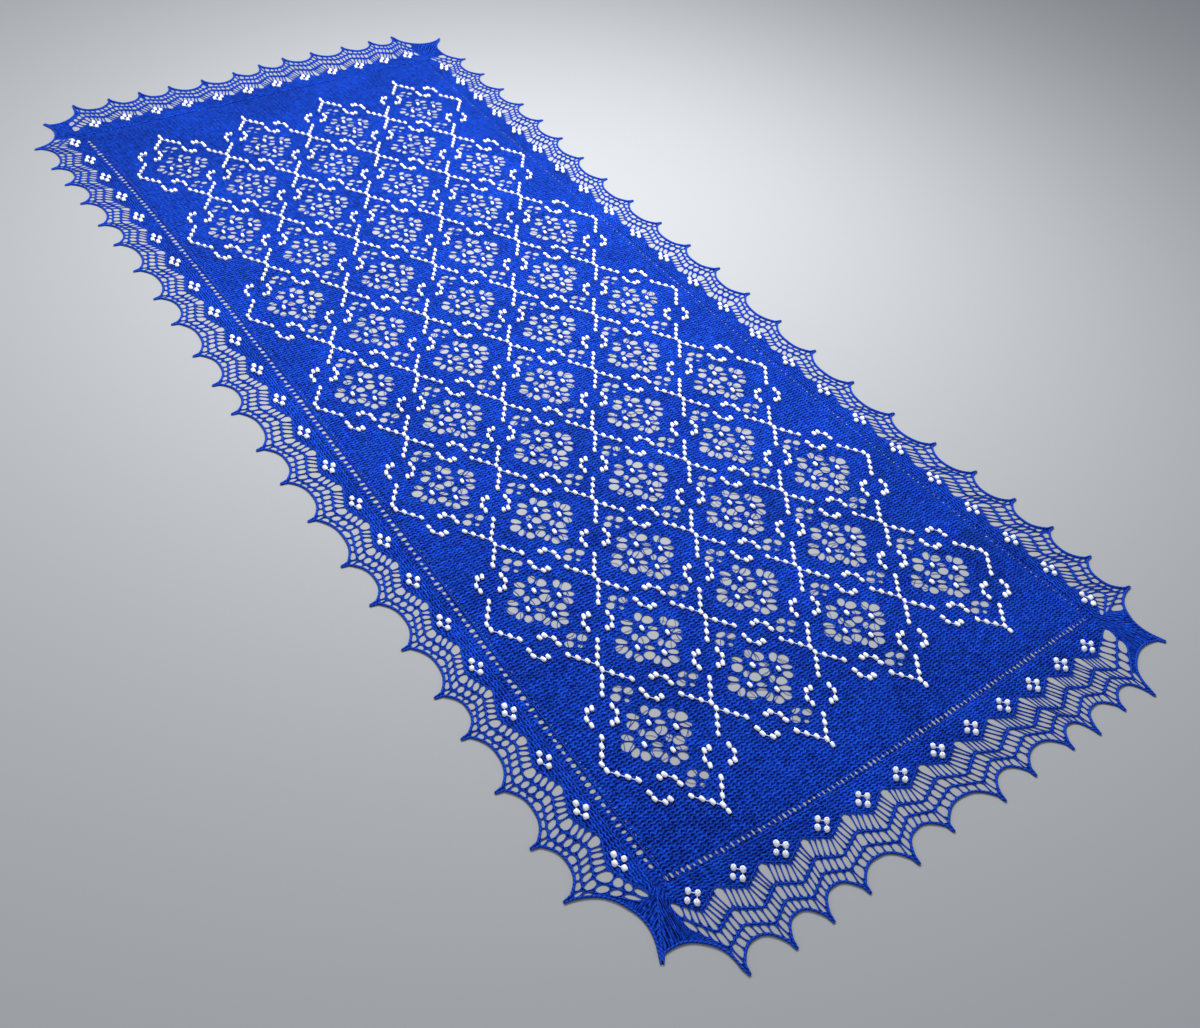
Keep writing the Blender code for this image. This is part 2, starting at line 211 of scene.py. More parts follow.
def eyelet_oval(knot_x, knot_y, eyelet, side, growth):
    """An eyelet of the chart beside its knot, a little different each time."""
    x = knot_x + (side * eyelet.x + either_way(EYELET_OFF)) * MM
    y = knot_y + (eyelet.y + either_way(EYELET_OFF)) * MM
    along = eyelet.along * growth * random.uniform(*EYELET_ALONG) * MM
    across = eyelet.across * growth * random.uniform(*EYELET_ACROSS) * MM
    return Oval(np.array((x, y)), atan2(eyelet.y, side * eyelet.x), along, across)


def oval_radius(oval, direction):
    along = direction[0] * cos(oval.turn) + direction[1] * sin(oval.turn)
    across = direction[1] * cos(oval.turn) - direction[0] * sin(oval.turn)
    return ((along / oval.along) ** 2 + (across / oval.across) ** 2) ** -0.5


def oval_loop(oval):
    """Outline of an eyelet, narrower towards its knot."""
    angle = angles_round(OVAL_CORNERS)
    a = oval.along * np.cos(angle)
    b = oval.across * np.sin(angle) * (1.0 + TAPER * np.cos(angle))
    return oval.middle + np.column_stack((a * cos(oval.turn) - b * sin(oval.turn),
                                          a * sin(oval.turn) + b * cos(oval.turn)))


def clipped(loop, place, direction):
    """The part of a loop that lies behind a line through a place, square to a direction."""
    ahead = (loop - place) @ direction
    kept = []
    for number, point in enumerate(loop):
        following = (number + 1) % len(loop)
        if ahead[number] <= 0:
            kept.append(point)
        if (ahead[number] > 0) != (ahead[following] > 0):
            share = ahead[number] / (ahead[number] - ahead[following])
            kept.append(point + (loop[following] - point) * share)
    return np.array(kept)


def lengths_to(points):
    """The length of a line up to each of its points."""
    return np.concatenate(((0.0,), np.cumsum(np.linalg.norm(np.diff(points, axis=0), axis=1))))


def rounded_loop(loop, cut, corners):
    """A loop with its corners cut off twice, and points spaced evenly round it."""
    for _ in range(2):
        ahead = np.roll(loop, -1, axis=0)
        both = (loop * (1 - cut) + ahead * cut, loop * cut + ahead * (1 - cut))
        loop = np.stack(both, axis=1).reshape(-1, 2)
    closed = np.concatenate((loop, loop[:1]))
    lengths = lengths_to(closed)
    even = np.arange(corners) / corners * lengths[-1]
    return np.column_stack([np.interp(even, lengths, closed[:, axis]) for axis in range(2)])


EYELET_CUT = 0.2                 # how much of each side a cut corner takes


def parted(ovals, thread, corners):
    """Outlines of neighbouring eyelets, each cut back to leave a thread between it and the next."""
    for oval in ovals:
        loop = oval_loop(oval)
        for other in ovals:
            distance = np.linalg.norm(other.middle - oval.middle)
            if 0 < distance < EYELET_SPREAD:
                direction = (other.middle - oval.middle) / distance
                mine, theirs = oval_radius(oval, direction), oval_radius(other, direction)
                halfway = distance * mine / (mine + theirs)
                loop = clipped(loop, oval.middle + direction * (halfway - thread / 2), direction)
        loop = rounded_loop(loop, EYELET_CUT, corners)
        yield np.stack(trellis_point(loop[:, 0], loop[:, 1]), axis=1)


# How much larger than charted the eyelets were blocked, at the near end and at the far end.
FLOWER_GROWTH = (1.25, 0.98)
SMALL_GROWTH = (1.12, 0.93)
FLOWER_CORNERS = 12
SMALL_CORNERS = 9
THREAD_LEFT = 0.4 * MM           # cloth left between two eyelets


def growth_at(y, ends):
    return np.interp(y, (-TRELLIS_HALF_LENGTH, TRELLIS_HALF_LENGTH), ends)


flower_eyelets, flower_knots = [], []
small_eyelets, small_knots = [], []
for diamond_x, diamond_y in diamond_centres():
    ovals = []
    growth = growth_at(diamond_y, FLOWER_GROWTH)
    for knot, fan in FLOWER_CHART:
        for side in (-1, 1):
            knot_x, knot_y = diamond_x + side * knot[0] * MM, diamond_y + knot[1] * MM
            if knot[0] or side == 1:
                flower_knots.append(trellis_point(knot_x, knot_y))
            ovals.extend(eyelet_oval(knot_x, knot_y, eyelet, side, growth) for eyelet in fan)
    flower_eyelets.extend(parted(ovals, THREAD_LEFT, FLOWER_CORNERS))
    for place in SMALL_FLOWER_PLACES:
        knot_y = diamond_y + place * MM
        small_knots.append(trellis_point(diamond_x, knot_y))
        growth = growth_at(knot_y, SMALL_GROWTH)
        ovals = [eyelet_oval(diamond_x, knot_y, eyelet, 1, growth) for eyelet in SMALL_FLOWER]
        small_eyelets.extend(parted(ovals, THREAD_LEFT, SMALL_CORNERS))

# Eyelets beside each join: millimetres in from it and from one to the next, and half sizes.
EyeletRow = namedtuple("EyeletRow", "inset pitch along across")
JOIN_ROWS = (
    (NEAR_JOIN, EyeletRow(3.9, 5.2, 1.25, 2.9)),
    (RIGHT_JOIN, EyeletRow(4.6, 7.04, 1.3, 1.1)),
    (FAR_JOIN, EyeletRow(3.6, 5.2, 0.7, 0.8)),
    (LEFT_JOIN, EyeletRow(7.0, 7.04, 2.3, 3.1)),
    (LEFT_JOIN, EyeletRow(13.5, 7.04, 0.8, 0.9)),
)
JOIN_CORNERS = 8
JOIN_END = 3                     # eyelets that a row stops short of its corners, in all
JOIN_OFF = (0.4, 0.3)            # millimetres that each may lie off its place, along and out
JOIN_ALONG = (0.6, 1.1)          # its half sizes, as shares of its row's
JOIN_ACROSS = (0.5, 1.1)


def join_eyelets():
    """Outlines of the eyelets beside the joins."""
    for join, row in JOIN_ROWS:
        count = int(2 * join.half / (row.pitch * MM)) - JOIN_END
        for number in range(count):
            s = ((number - (count - 1) / 2) * row.pitch + either_way(JOIN_OFF[0])) * MM
            middle = join.point(s, (either_way(JOIN_OFF[1]) - row.inset) * MM)
            along = row.along * random.uniform(*JOIN_ALONG) * MM
            across = row.across * random.uniform(*JOIN_ACROSS) * MM
            angle = angles_round(JOIN_CORNERS, random.random())
            yield (middle + np.multiply.outer(along * np.cos(angle), join.along)
                   + np.multiply.outer(across * np.sin(angle), join.outward))


def inside(points, loop):
    """Whether each point lies in a closed loop."""
    end = np.roll(loop, -1, axis=0)
    px, py = points[:, :1], points[:, 1:]
    crosses = (loop[:, 1] > py) != (end[:, 1] > py)
    rise = np.where(end[:, 1] == loop[:, 1], 1.0, end[:, 1] - loop[:, 1])
    x_at = loop[:, 0] + (py - loop[:, 1]) / rise * (end[:, 0] - loop[:, 0])
    return (crosses & (px < x_at)).sum(axis=1) % 2 == 1


CLOSEST = 1e-7                   # points nearer than this become one


def triangulate(outline, holes, ground):
    """Flat cloth with holes: its points, which of them lie on an edge, and its triangles."""
    plan, edges = [], []
    for loop in (outline, *holes):
        numbers = range(len(plan), len(plan) + len(loop))
        plan.extend(Vector(point) for point in loop)
        edges.extend(zip(numbers, (*numbers[1:], numbers[0])))
    rim_count = len(plan)
    plan.extend(Vector(point) for point in ground)
    out, _, faces, origin, _, _ = delaunay_2d_cdt(plan, edges, [], 0, CLOSEST, True)
    points = np.array([tuple(point) for point in out])
    corners = np.array(faces)
    middles = points[corners].mean(axis=1)
    kept = inside(middles, outline)
    for hole in holes:
        low, high = hole.min(axis=0), hole.max(axis=0)
        near = np.nonzero(kept & (middles > low).all(axis=1) & (middles < high).all(axis=1))[0]
        kept[near[inside(middles[near], hole)]] = False
    is_rim = np.array([min(sources, default=rim_count) < rim_count for sources in origin])
    return points, is_rim, corners[kept]


def add_map(mesh, name, chart):
    mesh.uv_layers.new(name=name).uv.foreach_set("vector", chart.astype(np.float32).ravel())


CLOTH_BEND = radians(40)         # the cloth's edges sharper than this stay sharp


def cloth_shell(name, outline, holes, ground, top_at, chart_at):
    """A thin closed shell of cloth with a map of its stitches and rows."""
    points, is_rim, corners = triangulate(outline, holes, ground)
    a, b, c = points[corners].transpose(1, 0, 2)
    is_upward = np.cross(b - a, c - a) > 0
    corners = np.where(is_upward[:, None], corners, corners[:, ::-1])
    count = len(points)
    top = top_at(points[:, 0], points[:, 1], is_rim)
    lower = np.full(count, CLOTH_FLOOR)
    places = np.column_stack((np.tile(points, (2, 1)), np.concatenate((top, lower))))
    ahead = np.roll(corners, -1, axis=1)
    border = dict.fromkeys(zip(corners.ravel().tolist(), ahead.ravel().tolist()))
    walls = [(j, i, i + count, j + count) for i, j in border if (j, i) not in border]
    used = np.unique(np.concatenate((corners, corners + count)))
    number = {old: new for new, old in enumerate(used.tolist())}
    faces = [*corners.tolist(), *(corners[:, ::-1] + count).tolist(), *walls]
    places = places[used]
    mesh = bpy.data.meshes.new(name)
    mesh.from_pydata(places.tolist(), [], [[number[i] for i in face] for face in faces])
    corner_points = np.empty(len(mesh.loops), dtype=np.int32)
    mesh.loops.foreach_get("vertex_index", corner_points)
    add_map(mesh, "stitches", np.column_stack(chart_at(places[:, 0], places[:, 1]))[corner_points])
    mesh.shade_smooth()
    mesh.set_sharp_from_angle(angle=CLOTH_BEND)
    return new_piece(name, mesh)


def new_piece(name, mesh):
    """Puts a mesh that was made round the trellis's middle where the frame has it."""
    mesh.transform(Matrix.Translation((*TRELLIS_MIDDLE, 0.0)))
    piece = bpy.data.objects.new(name, mesh)
    bpy.context.collection.objects.link(piece)
    return piece


# Ripples of the cloth, in radians to a metre across and along it, and where the first and last
# start.
RIPPLES = (61.0, 47.0)
SLANTED_RIPPLE = (23.0, -31.0)
RIPPLE_STARTS = (1.3, 0.4)


def uneven_top(height):
    """Gives the height of the cloth's top at a point, from its usual height."""
    def top_at(x, y, is_rim):
        slanted = np.sin(x * SLANTED_RIPPLE[0] + y * SLANTED_RIPPLE[1] + RIPPLE_STARTS[1])
        wave = np.sin(x * RIPPLES[0] + RIPPLE_STARTS[0]) * np.sin(y * RIPPLES[1]) + slanted
        return np.where(is_rim, EYELET_TOP, height + TOP_UNEVEN * wave)
    return top_at


class Finish:
    """A material, and the nodes that work out its colour and relief."""

    def __init__(self, name, colour):
        self.material = bpy.data.materials.new(name)
        self.material.use_nodes = True
        self.material.diffuse_color = (*colour, 1.0)
        self.tree = self.material.node_tree
        self.shader = self.tree.nodes["Principled BSDF"]
        self.place = self.node("TexCoord").outputs["Object"]

    def node(self, kind, inputs=(), **settings):
        """Adds a node, with its inputs linked from sockets or set to values."""
        made = self.tree.nodes.new("ShaderNode" + kind)
        for name, value in settings.items():
            setattr(made, name, value)
        for key, value in dict(inputs).items():
            if isinstance(value, bpy.types.NodeSocket):
                self.tree.links.new(value, made.inputs[key])
            else:
                made.inputs[key].default_value = value
        return made

    def calc(self, operation, first, second=0.0, third=0.0):
        return self.node("Math", {0: first, 1: second, 2: third}, operation=operation).outputs[0]

    def wave(self, turns, times=1):
        """Cosine of a count of turns, or of some times it."""
        return self.calc("COSINE", self.calc("MULTIPLY", turns, 2 * pi * times))

    def parts(self, vector):
        return self.node("SeparateXYZ", {"Vector": vector}).outputs

    def chart(self, name):
        return self.parts(self.node("UVMap", uv_map=name).outputs["UV"])

    def noise(self, scale, detail, roughness=0.5):
        """Noise of this scale and detail, fixed to the piece."""
        return self.node("TexNoise", {"Vector": self.place, "Scale": scale, "Detail": detail,
                                      "Roughness": roughness}).outputs

    def spread(self, share, low, high):
        """The middle of a noise's values, spread from low to high."""
        limits = {"From Min": 0.3, "From Max": 0.7, "To Min": low, "To Max": high}
        return self.node("MapRange", {"Value": share, **limits}).outputs["Result"]

    def ramp(self, share, *stops):
        """A colour ramp through (position, colour) stops."""
        made = self.node("ValToRGB", {"Fac": share})
        elements = made.color_ramp.elements
        while len(elements) < len(stops):
            elements.new(0.5)
        for element, (position, colour) in zip(elements, stops):
            element.position = position
            element.color = (*colour, 1.0)
        return made.outputs["Color"]

    def colour(self, socket):
        self.tree.links.new(socket, self.shader.inputs["Base Color"])

    def relief(self, height, strength, distance):
        bump = self.node("Bump", {"Height": height, "Strength": strength, "Distance": distance})
        self.tree.links.new(bump.outputs["Normal"], self.shader.inputs["Normal"])

    def surface(self, values):
        for name, value in values.items():
            self.shader.inputs[name].default_value = value


# Royal blue of the wool: painted shade in the gaps between the stitches, its own blue on their
# flanks and a painted highlight on their crowns.
BLUE_GAP_SHADE = (0.00016, 0.0025, 0.045)
BLUE_MID = (0.0012, 0.016, 0.197)
BLUE_CROWN_HIGHLIGHT = (0.0082, 0.066, 0.541)

# Matt wool with a faint blue halo of fibres.
WOOL_SURFACE = {"Roughness": 0.9, "Specular IOR Level": 0.04, "Sheen Weight": 0.06,
                "Sheen Roughness": 0.5, "Sheen Tint": (0.10, 0.30, 1.0, 1.0)}

# How far the stitches are pulled off the chart, in stitches and rows, and how high their loops
# arch, in rows.
PULL = (1.1, 1.0)
ARCH = 0.16

# Noises of the wool, by scale, detail and roughness: the pull on its stitches, the drift of their
# gaps, the fibres and the fuzz, and larger patches and small flecks of lighter and darker blue.
PULL_NOISE = (170.0, 4.0)
DRIFT_NOISE = (21.0, 3.0)
FIBRE_NOISE = (900.0, 4.0, 0.7)
FUZZ_NOISE = (380.0, 2.0)
PATCH_NOISE, PATCH_LEVELS = (9.0, 4.0), (0.80, 1.12)
FLECK_NOISE, FLECK_LEVELS = (150.0, 4.0), (-0.26, 0.26)

# Shares of the relief beside that of the knitting's rows: its columns, the two legs of each stitch,
# the lean of the legs to the right, the fibres and the fuzz. The gap in a stitch has a depth that
# drifts over the cloth and one of its own.
COLUMN_SHARE = -0.015
LEG_SHARE = -0.08
LEAN_SHARE = -0.055
FIBRE_SHARE = 0.7
FUZZ_SHARE = 0.9
GAP_POWER = 0.8
GAP_DEPTHS = (-0.2, -0.62)
GAP_OWN_DEPTH = -0.36
RELIEF_START = -0.09


def knitted_wool(name, ridge_share):
    """Plain knitting: a gap in the middle of each stitch under its loop's arch, painted dark as
    shade; the crowns are painted light as highlight.
    """
    wool = Finish(name, BLUE_MID)
    calc, wave = wool.calc, wool.wave
    chart, pulls = wool.chart("stitches"), wool.parts(wool.noise(*PULL_NOISE)["Color"])
    stitch, row = (calc("MULTIPLY_ADD", pulls[axis], pull, chart[axis])
                   for axis, pull in zip("XY", PULL))
    across = wave(stitch)
    arched = calc("MULTIPLY_ADD", across, ARCH, row)
    along = wave(arched)
    open_across, open_along = (calc("MULTIPLY_ADD", part, -0.5, 0.5) for part in (across, along))
    gap = calc("POWER", calc("MULTIPLY", open_across, open_along), GAP_POWER)
    counted = wool.node("CombineXYZ", {"X": calc("FLOOR", stitch), "Y": calc("ROUND", arched)})
    own = wool.node("TexWhiteNoise", {"Vector": counted.outputs["Vector"]}).outputs["Value"]
    drift = wool.spread(wool.noise(*DRIFT_NOISE)["Fac"], *GAP_DEPTHS)
    height = RELIEF_START
    for part, share in (
            (along, 0.5 * ridge_share), (across, COLUMN_SHARE), (wave(stitch, 2), LEG_SHARE),
            (wave(calc("SUBTRACT", stitch, arched)), LEAN_SHARE),
            (gap, calc("MULTIPLY_ADD", own, GAP_OWN_DEPTH, drift)),
            (wool.noise(*FIBRE_NOISE)["Fac"], FIBRE_SHARE),
            (wool.noise(*FUZZ_NOISE)["Fac"], FUZZ_SHARE)):
        height = calc("MULTIPLY_ADD", part, share, height)
    level = calc("ADD", wool.spread(wool.noise(*PATCH_NOISE)["Fac"], *PATCH_LEVELS),
                 wool.spread(wool.noise(*FLECK_NOISE)["Fac"], *FLECK_LEVELS))
    # The relief's height also sets the colour: painted shade in its gaps and hollows, and a painted
    # highlight on its crowns, fibres and fuzz.
    colour = wool.ramp(height, (0.08, BLUE_GAP_SHADE), (0.55, BLUE_MID), (1.0, BLUE_CROWN_HIGHLIGHT))
    tint = wool.node("VectorMath", {0: colour, "Scale": level}, operation="SCALE")
    wool.colour(tint.outputs["Vector"])
    wool.relief(height, strength=0.6, distance=0.8 * MM)
    wool.surface(WOOL_SURFACE)
    return wool.material


JOIN_STEPS = 61


def panel_edge(clearance):
    """The panel's outline, this far inside its four joins."""
    edge = []
    for join, following in zip(JOINS, JOINS[1:] + JOINS[:1]):
        edge.extend(join.point(np.linspace(-join.half, join.half, JOIN_STEPS)[1:-1], -clearance))
        corner = np.array(join.corners[1].seam) * MM
        edge.append(corner - (join.outward + following.outward) * clearance)
    return np.array(edge)


def laid(piece, material):
    """Gives a piece its material and lays it with the rest of the shawl."""
    piece.data.materials.append(material)
    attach(piece, "root")
    return piece


GROUND_REACH = (270 * MM, 640 * MM)
GROUND_STEP = (2 * STITCH, 3 * ROW)
GROUND_INSET = 2 * MM
ground_steps = [np.arange(-reach, reach, step) for reach, step in zip(GROUND_REACH, GROUND_STEP)]
panel_ground = np.stack(np.meshgrid(*ground_steps), axis=-1).reshape(-1, 2)
panel_ground = panel_ground[inside(panel_ground, panel_edge(GROUND_INSET))]
panel_holes = [*flower_eyelets, *small_eyelets, *join_eyelets()]
panel = cloth_shell("centre_panel_cloth", panel_edge(SEAM_GAP / 2), panel_holes, panel_ground,
                    uneven_top(PANEL_TOP), chart_place)
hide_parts("centre_panel")
laid(panel, knitted_wool("panel_wool", ridge_share=0.34))

# ---------------------------------------------------------------- yarn of the flowers
# One strand runs round each eyelet, because the yarn-over that opens it is pulled tight by the
# stitches beside it. Where an eyelet's neighbours meet, several strands are drawn into a knot, and
# thin strands stray across the eyelets.

YARN_RADIUS = 0.38 * MM
YARN_LIE = 0.65 * MM             # height of the strand's middle

# Corners of a face of a tube: steps along it and round it from its first corner.
FACE = ((0, 0), (1, 0), (1, 1), (0, 1))


def unit(vectors):
    return vectors / np.linalg.norm(vectors, axis=1)[:, None]


def tube_faces(steps, rings, sides):
    """Faces of a tube of rings of points, and their corners' places along it and round it."""
    starts = np.meshgrid(np.arange(steps), np.arange(sides), indexing="ij")
    along, turned = (np.stack([start + step[axis] for step in FACE], -1).reshape(-1, 4)
                     for axis, start in enumerate(starts))
    return along % rings * sides + turned % sides, along, turned


def strand_parts(points, radius, closed, sides):
    """Rings of points along a strand, its faces, and their corners' places along and round it."""
    count = len(points)
    if closed:
        run = np.roll(points, -1, axis=0) - np.roll(points, 1, axis=0)
    else:
        run = np.gradient(points, axis=0)
    run = unit(run)
    beside = unit(np.cross((0.0, 0.0, 1.0), run))
    above = np.cross(run, beside)
    angle = angles_round(sides)[None, :, None]
    ring = beside[:, None] * np.cos(angle) + above[:, None] * np.sin(angle)
    rings = points[:, None] + ring * np.reshape(radius, (-1, 1, 1))
    faces, along, turned = tube_faces(count if closed else count - 1, count, sides)
    lengths = lengths_to(np.concatenate((points, points[:1])))
    chart = np.stack((lengths[along], turned / sides), -1)
    if not closed and sides == 4:
        ends = np.array([(3, 2, 1, 0), (count - 1) * sides + np.arange(4)])
        faces = np.concatenate((faces, ends))
        chart = np.concatenate((chart, np.zeros((2, 4, 2))))
    return rings.reshape(-1, 3), faces, chart


def joined_mesh(name, parts):
    """One smooth mesh of many parts, each given by its points and its faces."""
    firsts = np.cumsum([0, *(len(points) for points, _ in parts)])
    places = np.concatenate([points for points, _ in parts])
    faces = np.concatenate([part_faces + first for (_, part_faces), first in zip(parts, firsts)])
    mesh = bpy.data.meshes.new(name)
    mesh.from_pydata(places.tolist(), [], faces.tolist())
    mesh.shade_smooth()
    return mesh


def yarn_piece(name, strands, sides=4):
    """One piece of many strands, given as (points, radius, closed)."""
    parts = [strand_parts(*strand, sides) for strand in strands]
    mesh = joined_mesh(name, [part[:2] for part in parts])
    add_map(mesh, "yarn", np.concatenate([chart for _, _, chart in parts]))
    return new_piece(name, mesh)


PLY_SHARE = 0.28                 # of the relief beside that of the fibres
PLY_FIBRE_NOISE = (1500.0, 3.0)


def twisted_wool(name, groove_shade, crown_highlight, lay):
    """Two-ply wool: its plies wind round each other once in a lay, with painted shade in the
    grooves between them and a painted highlight on their crowns.
    """
    wool = Finish(name, crown_highlight)
    chart = wool.chart("yarn")
    wound = wool.calc("MULTIPLY", chart["X"], 1.0 / lay)
    ply = wool.wave(wool.calc("MULTIPLY_ADD", chart["Y"], 2.0, wound))
    height = wool.calc("MULTIPLY_ADD", ply, PLY_SHARE, wool.noise(*PLY_FIBRE_NOISE)["Fac"])
    # Painted shade low in the grooves between the plies, painted highlight high on their crowns.
    wool.colour(wool.ramp(height, (0.15, groove_shade), (0.75, crown_highlight)))
    wool.relief(height, strength=0.6, distance=0.3 * MM)
    wool.surface(WOOL_SURFACE)
    return wool.material


YARN_OUT = 0.2 * MM              # the strand's middle lies this far outside an eyelet's edge
YARN_LIFT = (-0.1, 0.2)          # millimetres that it lies above or below its place
YARN_TILT = 0.15 * MM
YARN_THICKNESS = (0.8, 1.15)


def round_eyelet(loop, radius=YARN_RADIUS):
    """The strand round an eyelet, a little outside its edge."""
    out = loop - loop.mean(axis=0)
    lie = YARN_LIE + random.uniform(*YARN_LIFT) * MM
    turn = np.arctan2(out[:, 1], out[:, 0]) - random.uniform(0, 2 * pi)
    points = np.column_stack((loop + unit(out) * YARN_OUT, lie + YARN_TILT * np.cos(turn)))
    return points, radius * random.uniform(*YARN_THICKNESS), True


KNOT_BEARINGS = (62, 118, 8)     # degrees
KNOT_OFF = 8
KNOT_RAISE = 0.25 * MM
KNOT_ARCH = 0.35 * MM
KNOT_ALONG = np.linspace(-1.0, 1.0, 5)
KNOT_THICKNESS = np.array((0.6, 1.0, 1.15, 1.0, 0.6))


def knot_strands(knots, reach, radius):
    """Strands drawn across each knot."""
    for x, y in knots:
        for bearing in KNOT_BEARINGS:
            angle = radians(bearing + either_way(KNOT_OFF))
            run = np.multiply.outer(KNOT_ALONG * reach, (cos(angle), sin(angle), 0.0))
            points = np.array((x, y, YARN_LIE + KNOT_RAISE)) + run
            points[:, 2] += (1.0 - KNOT_ALONG ** 2) * KNOT_ARCH
            yield points, radius * KNOT_THICKNESS, False


STRAY_RADIUS = 0.26 * MM
STRAY_THICKNESS = (0.7, 1.2)
STRAY_SLACK = 0.6                # it bows sideways by up to a quarter of this share of its length
STRAY_SAG = (0.0, 0.2)           # millimetres
STRAY_SKEWS = (-2, -1, 1, 2)     # corners that its end lies off the opposite one
STRAY_ALONG = np.linspace(-0.05, 1.05, 5)[:, None]
STRAYS = (0, 1, 1, 2)            # stray strands across an eyelet, one count as likely as another


def stray_strands(loops):
    """Strands that cross an eyelet from edge to edge, slightly slack."""
    for loop in loops:
        for _ in range(random.choice(STRAYS)):
            first = random.randrange(len(loop))
            last = (first + len(loop) // 2 + random.choice(STRAY_SKEWS)) % len(loop)
            start, run = loop[first], loop[last] - loop[first]
            bowed = either_way(STRAY_SLACK) * STRAY_ALONG * (1.0 - STRAY_ALONG)
            places = start + run * STRAY_ALONG + right_of(run, -1) * bowed
            heights = np.full(len(places), YARN_LIE - random.uniform(*STRAY_SAG) * MM)
            radius = STRAY_RADIUS * random.uniform(*STRAY_THICKNESS)
            yield np.column_stack((places, heights)), radius, False


RIDGE_RADIUS = 0.45 * MM
RIDGE_INSET = 10.7               # millimetres in from a long join
RIDGE_SWAY = 0.4                 # millimetres either way
RIDGE_TURN = 0.9                 # most that its wave turns, in radians to a step
RIDGE_STEP = 4.0 * MM
RIDGE_LIE = PANEL_TOP + 0.1 * MM


def join_ridge(join):
    """The raised strand that runs beside the eyelets of a long join."""
    s = np.arange(-join.half, join.half, RIDGE_STEP)
    turn = np.cumsum([either_way(RIDGE_TURN) for _ in s])
    points = join.point(s, (RIDGE_SWAY * np.sin(turn) - RIDGE_INSET) * MM)
    return np.column_stack((points, np.full(len(s), RIDGE_LIE))), RIDGE_RADIUS, False


# The flower yarn's two blues are its painted shade in the ply grooves and its painted highlight on
# the ply crowns.
yarn_wool = twisted_wool("yarn_wool", groove_shade=(0.0012, 0.0115, 0.123), crown_highlight=(0.0148, 0.082, 0.59),
                         lay=2.4 * MM)
flower_yarn = laid(yarn_piece("flower_yarn", [
    *(round_eyelet(loop) for loop in flower_eyelets),
    *stray_strands(flower_eyelets),
    *knot_strands(flower_knots, reach=3.4 * MM, radius=0.62 * MM),
    *(join_ridge(join) for join in (RIGHT_JOIN, LEFT_JOIN))]), yarn_wool)
small_flower_yarn = laid(yarn_piece("small_flower_yarn", [
    *(round_eyelet(loop) for loop in small_eyelets),
    *stray_strands(small_eyelets),
    *knot_strands(small_knots, reach=2.6 * MM, radius=0.5 * MM)]), yarn_wool)

# ---------------------------------------------------------------- glass beads of the trellis
# White glass seed beads, each pulled down over one stitch as it is knitted, so that its hole runs
# up the column of stitches. They are set two rows apart along the slanting lines of the trellis,
# and the lines break in the middle round a pair of hooks.

BEAD_RADIUS = 1.95 * MM
BEAD_LENGTH = 5.3 * MM
BEAD_SIDES = 8
BEAD_BEND = radians(50)          # its edges sharper than this stay sharp
BEAD_LIE = PANEL_TOP + 1.25 * MM

# Half the width of a bead and its place along the hole, as shares of its radius and half length.
BEAD_PROFILE = ((0.7, -1.0), (1.0, -0.5), (1.0, 0.5), (0.7, 1.0), (0.42, 0.8), (0.42, -0.8))

# How a bead lies: degrees that it leans with its line, may turn either way and tips its far end up,
# millimetres that it is raised, and its size beside the usual.
BEAD_LEAN = 14
BEAD_TURN = 9
BEAD_TIP = (-4, 18)
BEAD_RAISE = (-0.15, 0.25)
BEAD_SIZE = (0.93, 1.05)

# Beads of one slanting side of a diamond, in stitches and rows from the crossing it starts at to
# the one 11 stitches and 24 rows away, in the order that they are strung.
SIDE_CHART = (
    ((0, 1), (1, 3), (2, 5), (3, 7)),
    ((3, 11), (3, 13), (4, 15), (5, 15)),
    ((6, 9), (7, 9), (8, 11), (8, 13)),
    ((8, 17), (9, 19), (10, 21), (11, 23)),
)


def bead_runs():
    """Runs of beads as they are strung, in stitches and rows from the middle, and their slant."""
    crossings = {(across, along) for across in range(-DIAMONDS_ACROSS, DIAMONDS_ACROSS + 1)
                 for along in range(-DIAMONDS_ALONG, DIAMONDS_ALONG + 1)
                 if (across + along + DIAMONDS_ACROSS + DIAMONDS_ALONG) % 2 == 1}
    for across, along in sorted(crossings):
        stitch, row = across * DIAMOND_STITCHES // 2, along * DIAMOND_ROWS // 2
        yield [(stitch, row - 1), (stitch, row + 1)], 0
        for slant in (-1, 1):
            if (across + slant, along + 1) in crossings:
                for run in SIDE_CHART:
                    yield [(stitch + slant * s, row + r) for s, r in run], slant


def bead_piece(name, beads, radius=BEAD_RADIUS, length=BEAD_LENGTH):
    """Beads given as (middle, turn of the hole in the plane, tilt of the hole, size)."""
    width, place = np.array(BEAD_PROFILE).T[:, :, None]
    angle = angles_round(BEAD_SIDES)
    ring = np.stack(np.broadcast_arrays(radius * width * np.cos(angle), length / 2 * place,
                                        radius * width * np.sin(angle)), -1).reshape(-1, 3)
    rings = len(BEAD_PROFILE)
    faces = tube_faces(rings, rings, BEAD_SIDES)[0][:, (0, 3, 2, 1)]
    parts = []
    for middle, turn, tilt, size in beads:
        placed = Matrix.Rotation(turn, 3, "Z") @ Matrix.Rotation(tilt, 3, "X")
        parts.append((ring * size @ np.array(placed).T + np.array(middle), faces))
    mesh = joined_mesh(name, parts)
    mesh.set_sharp_from_angle(angle=BEAD_BEND)
    return new_piece(name, mesh)


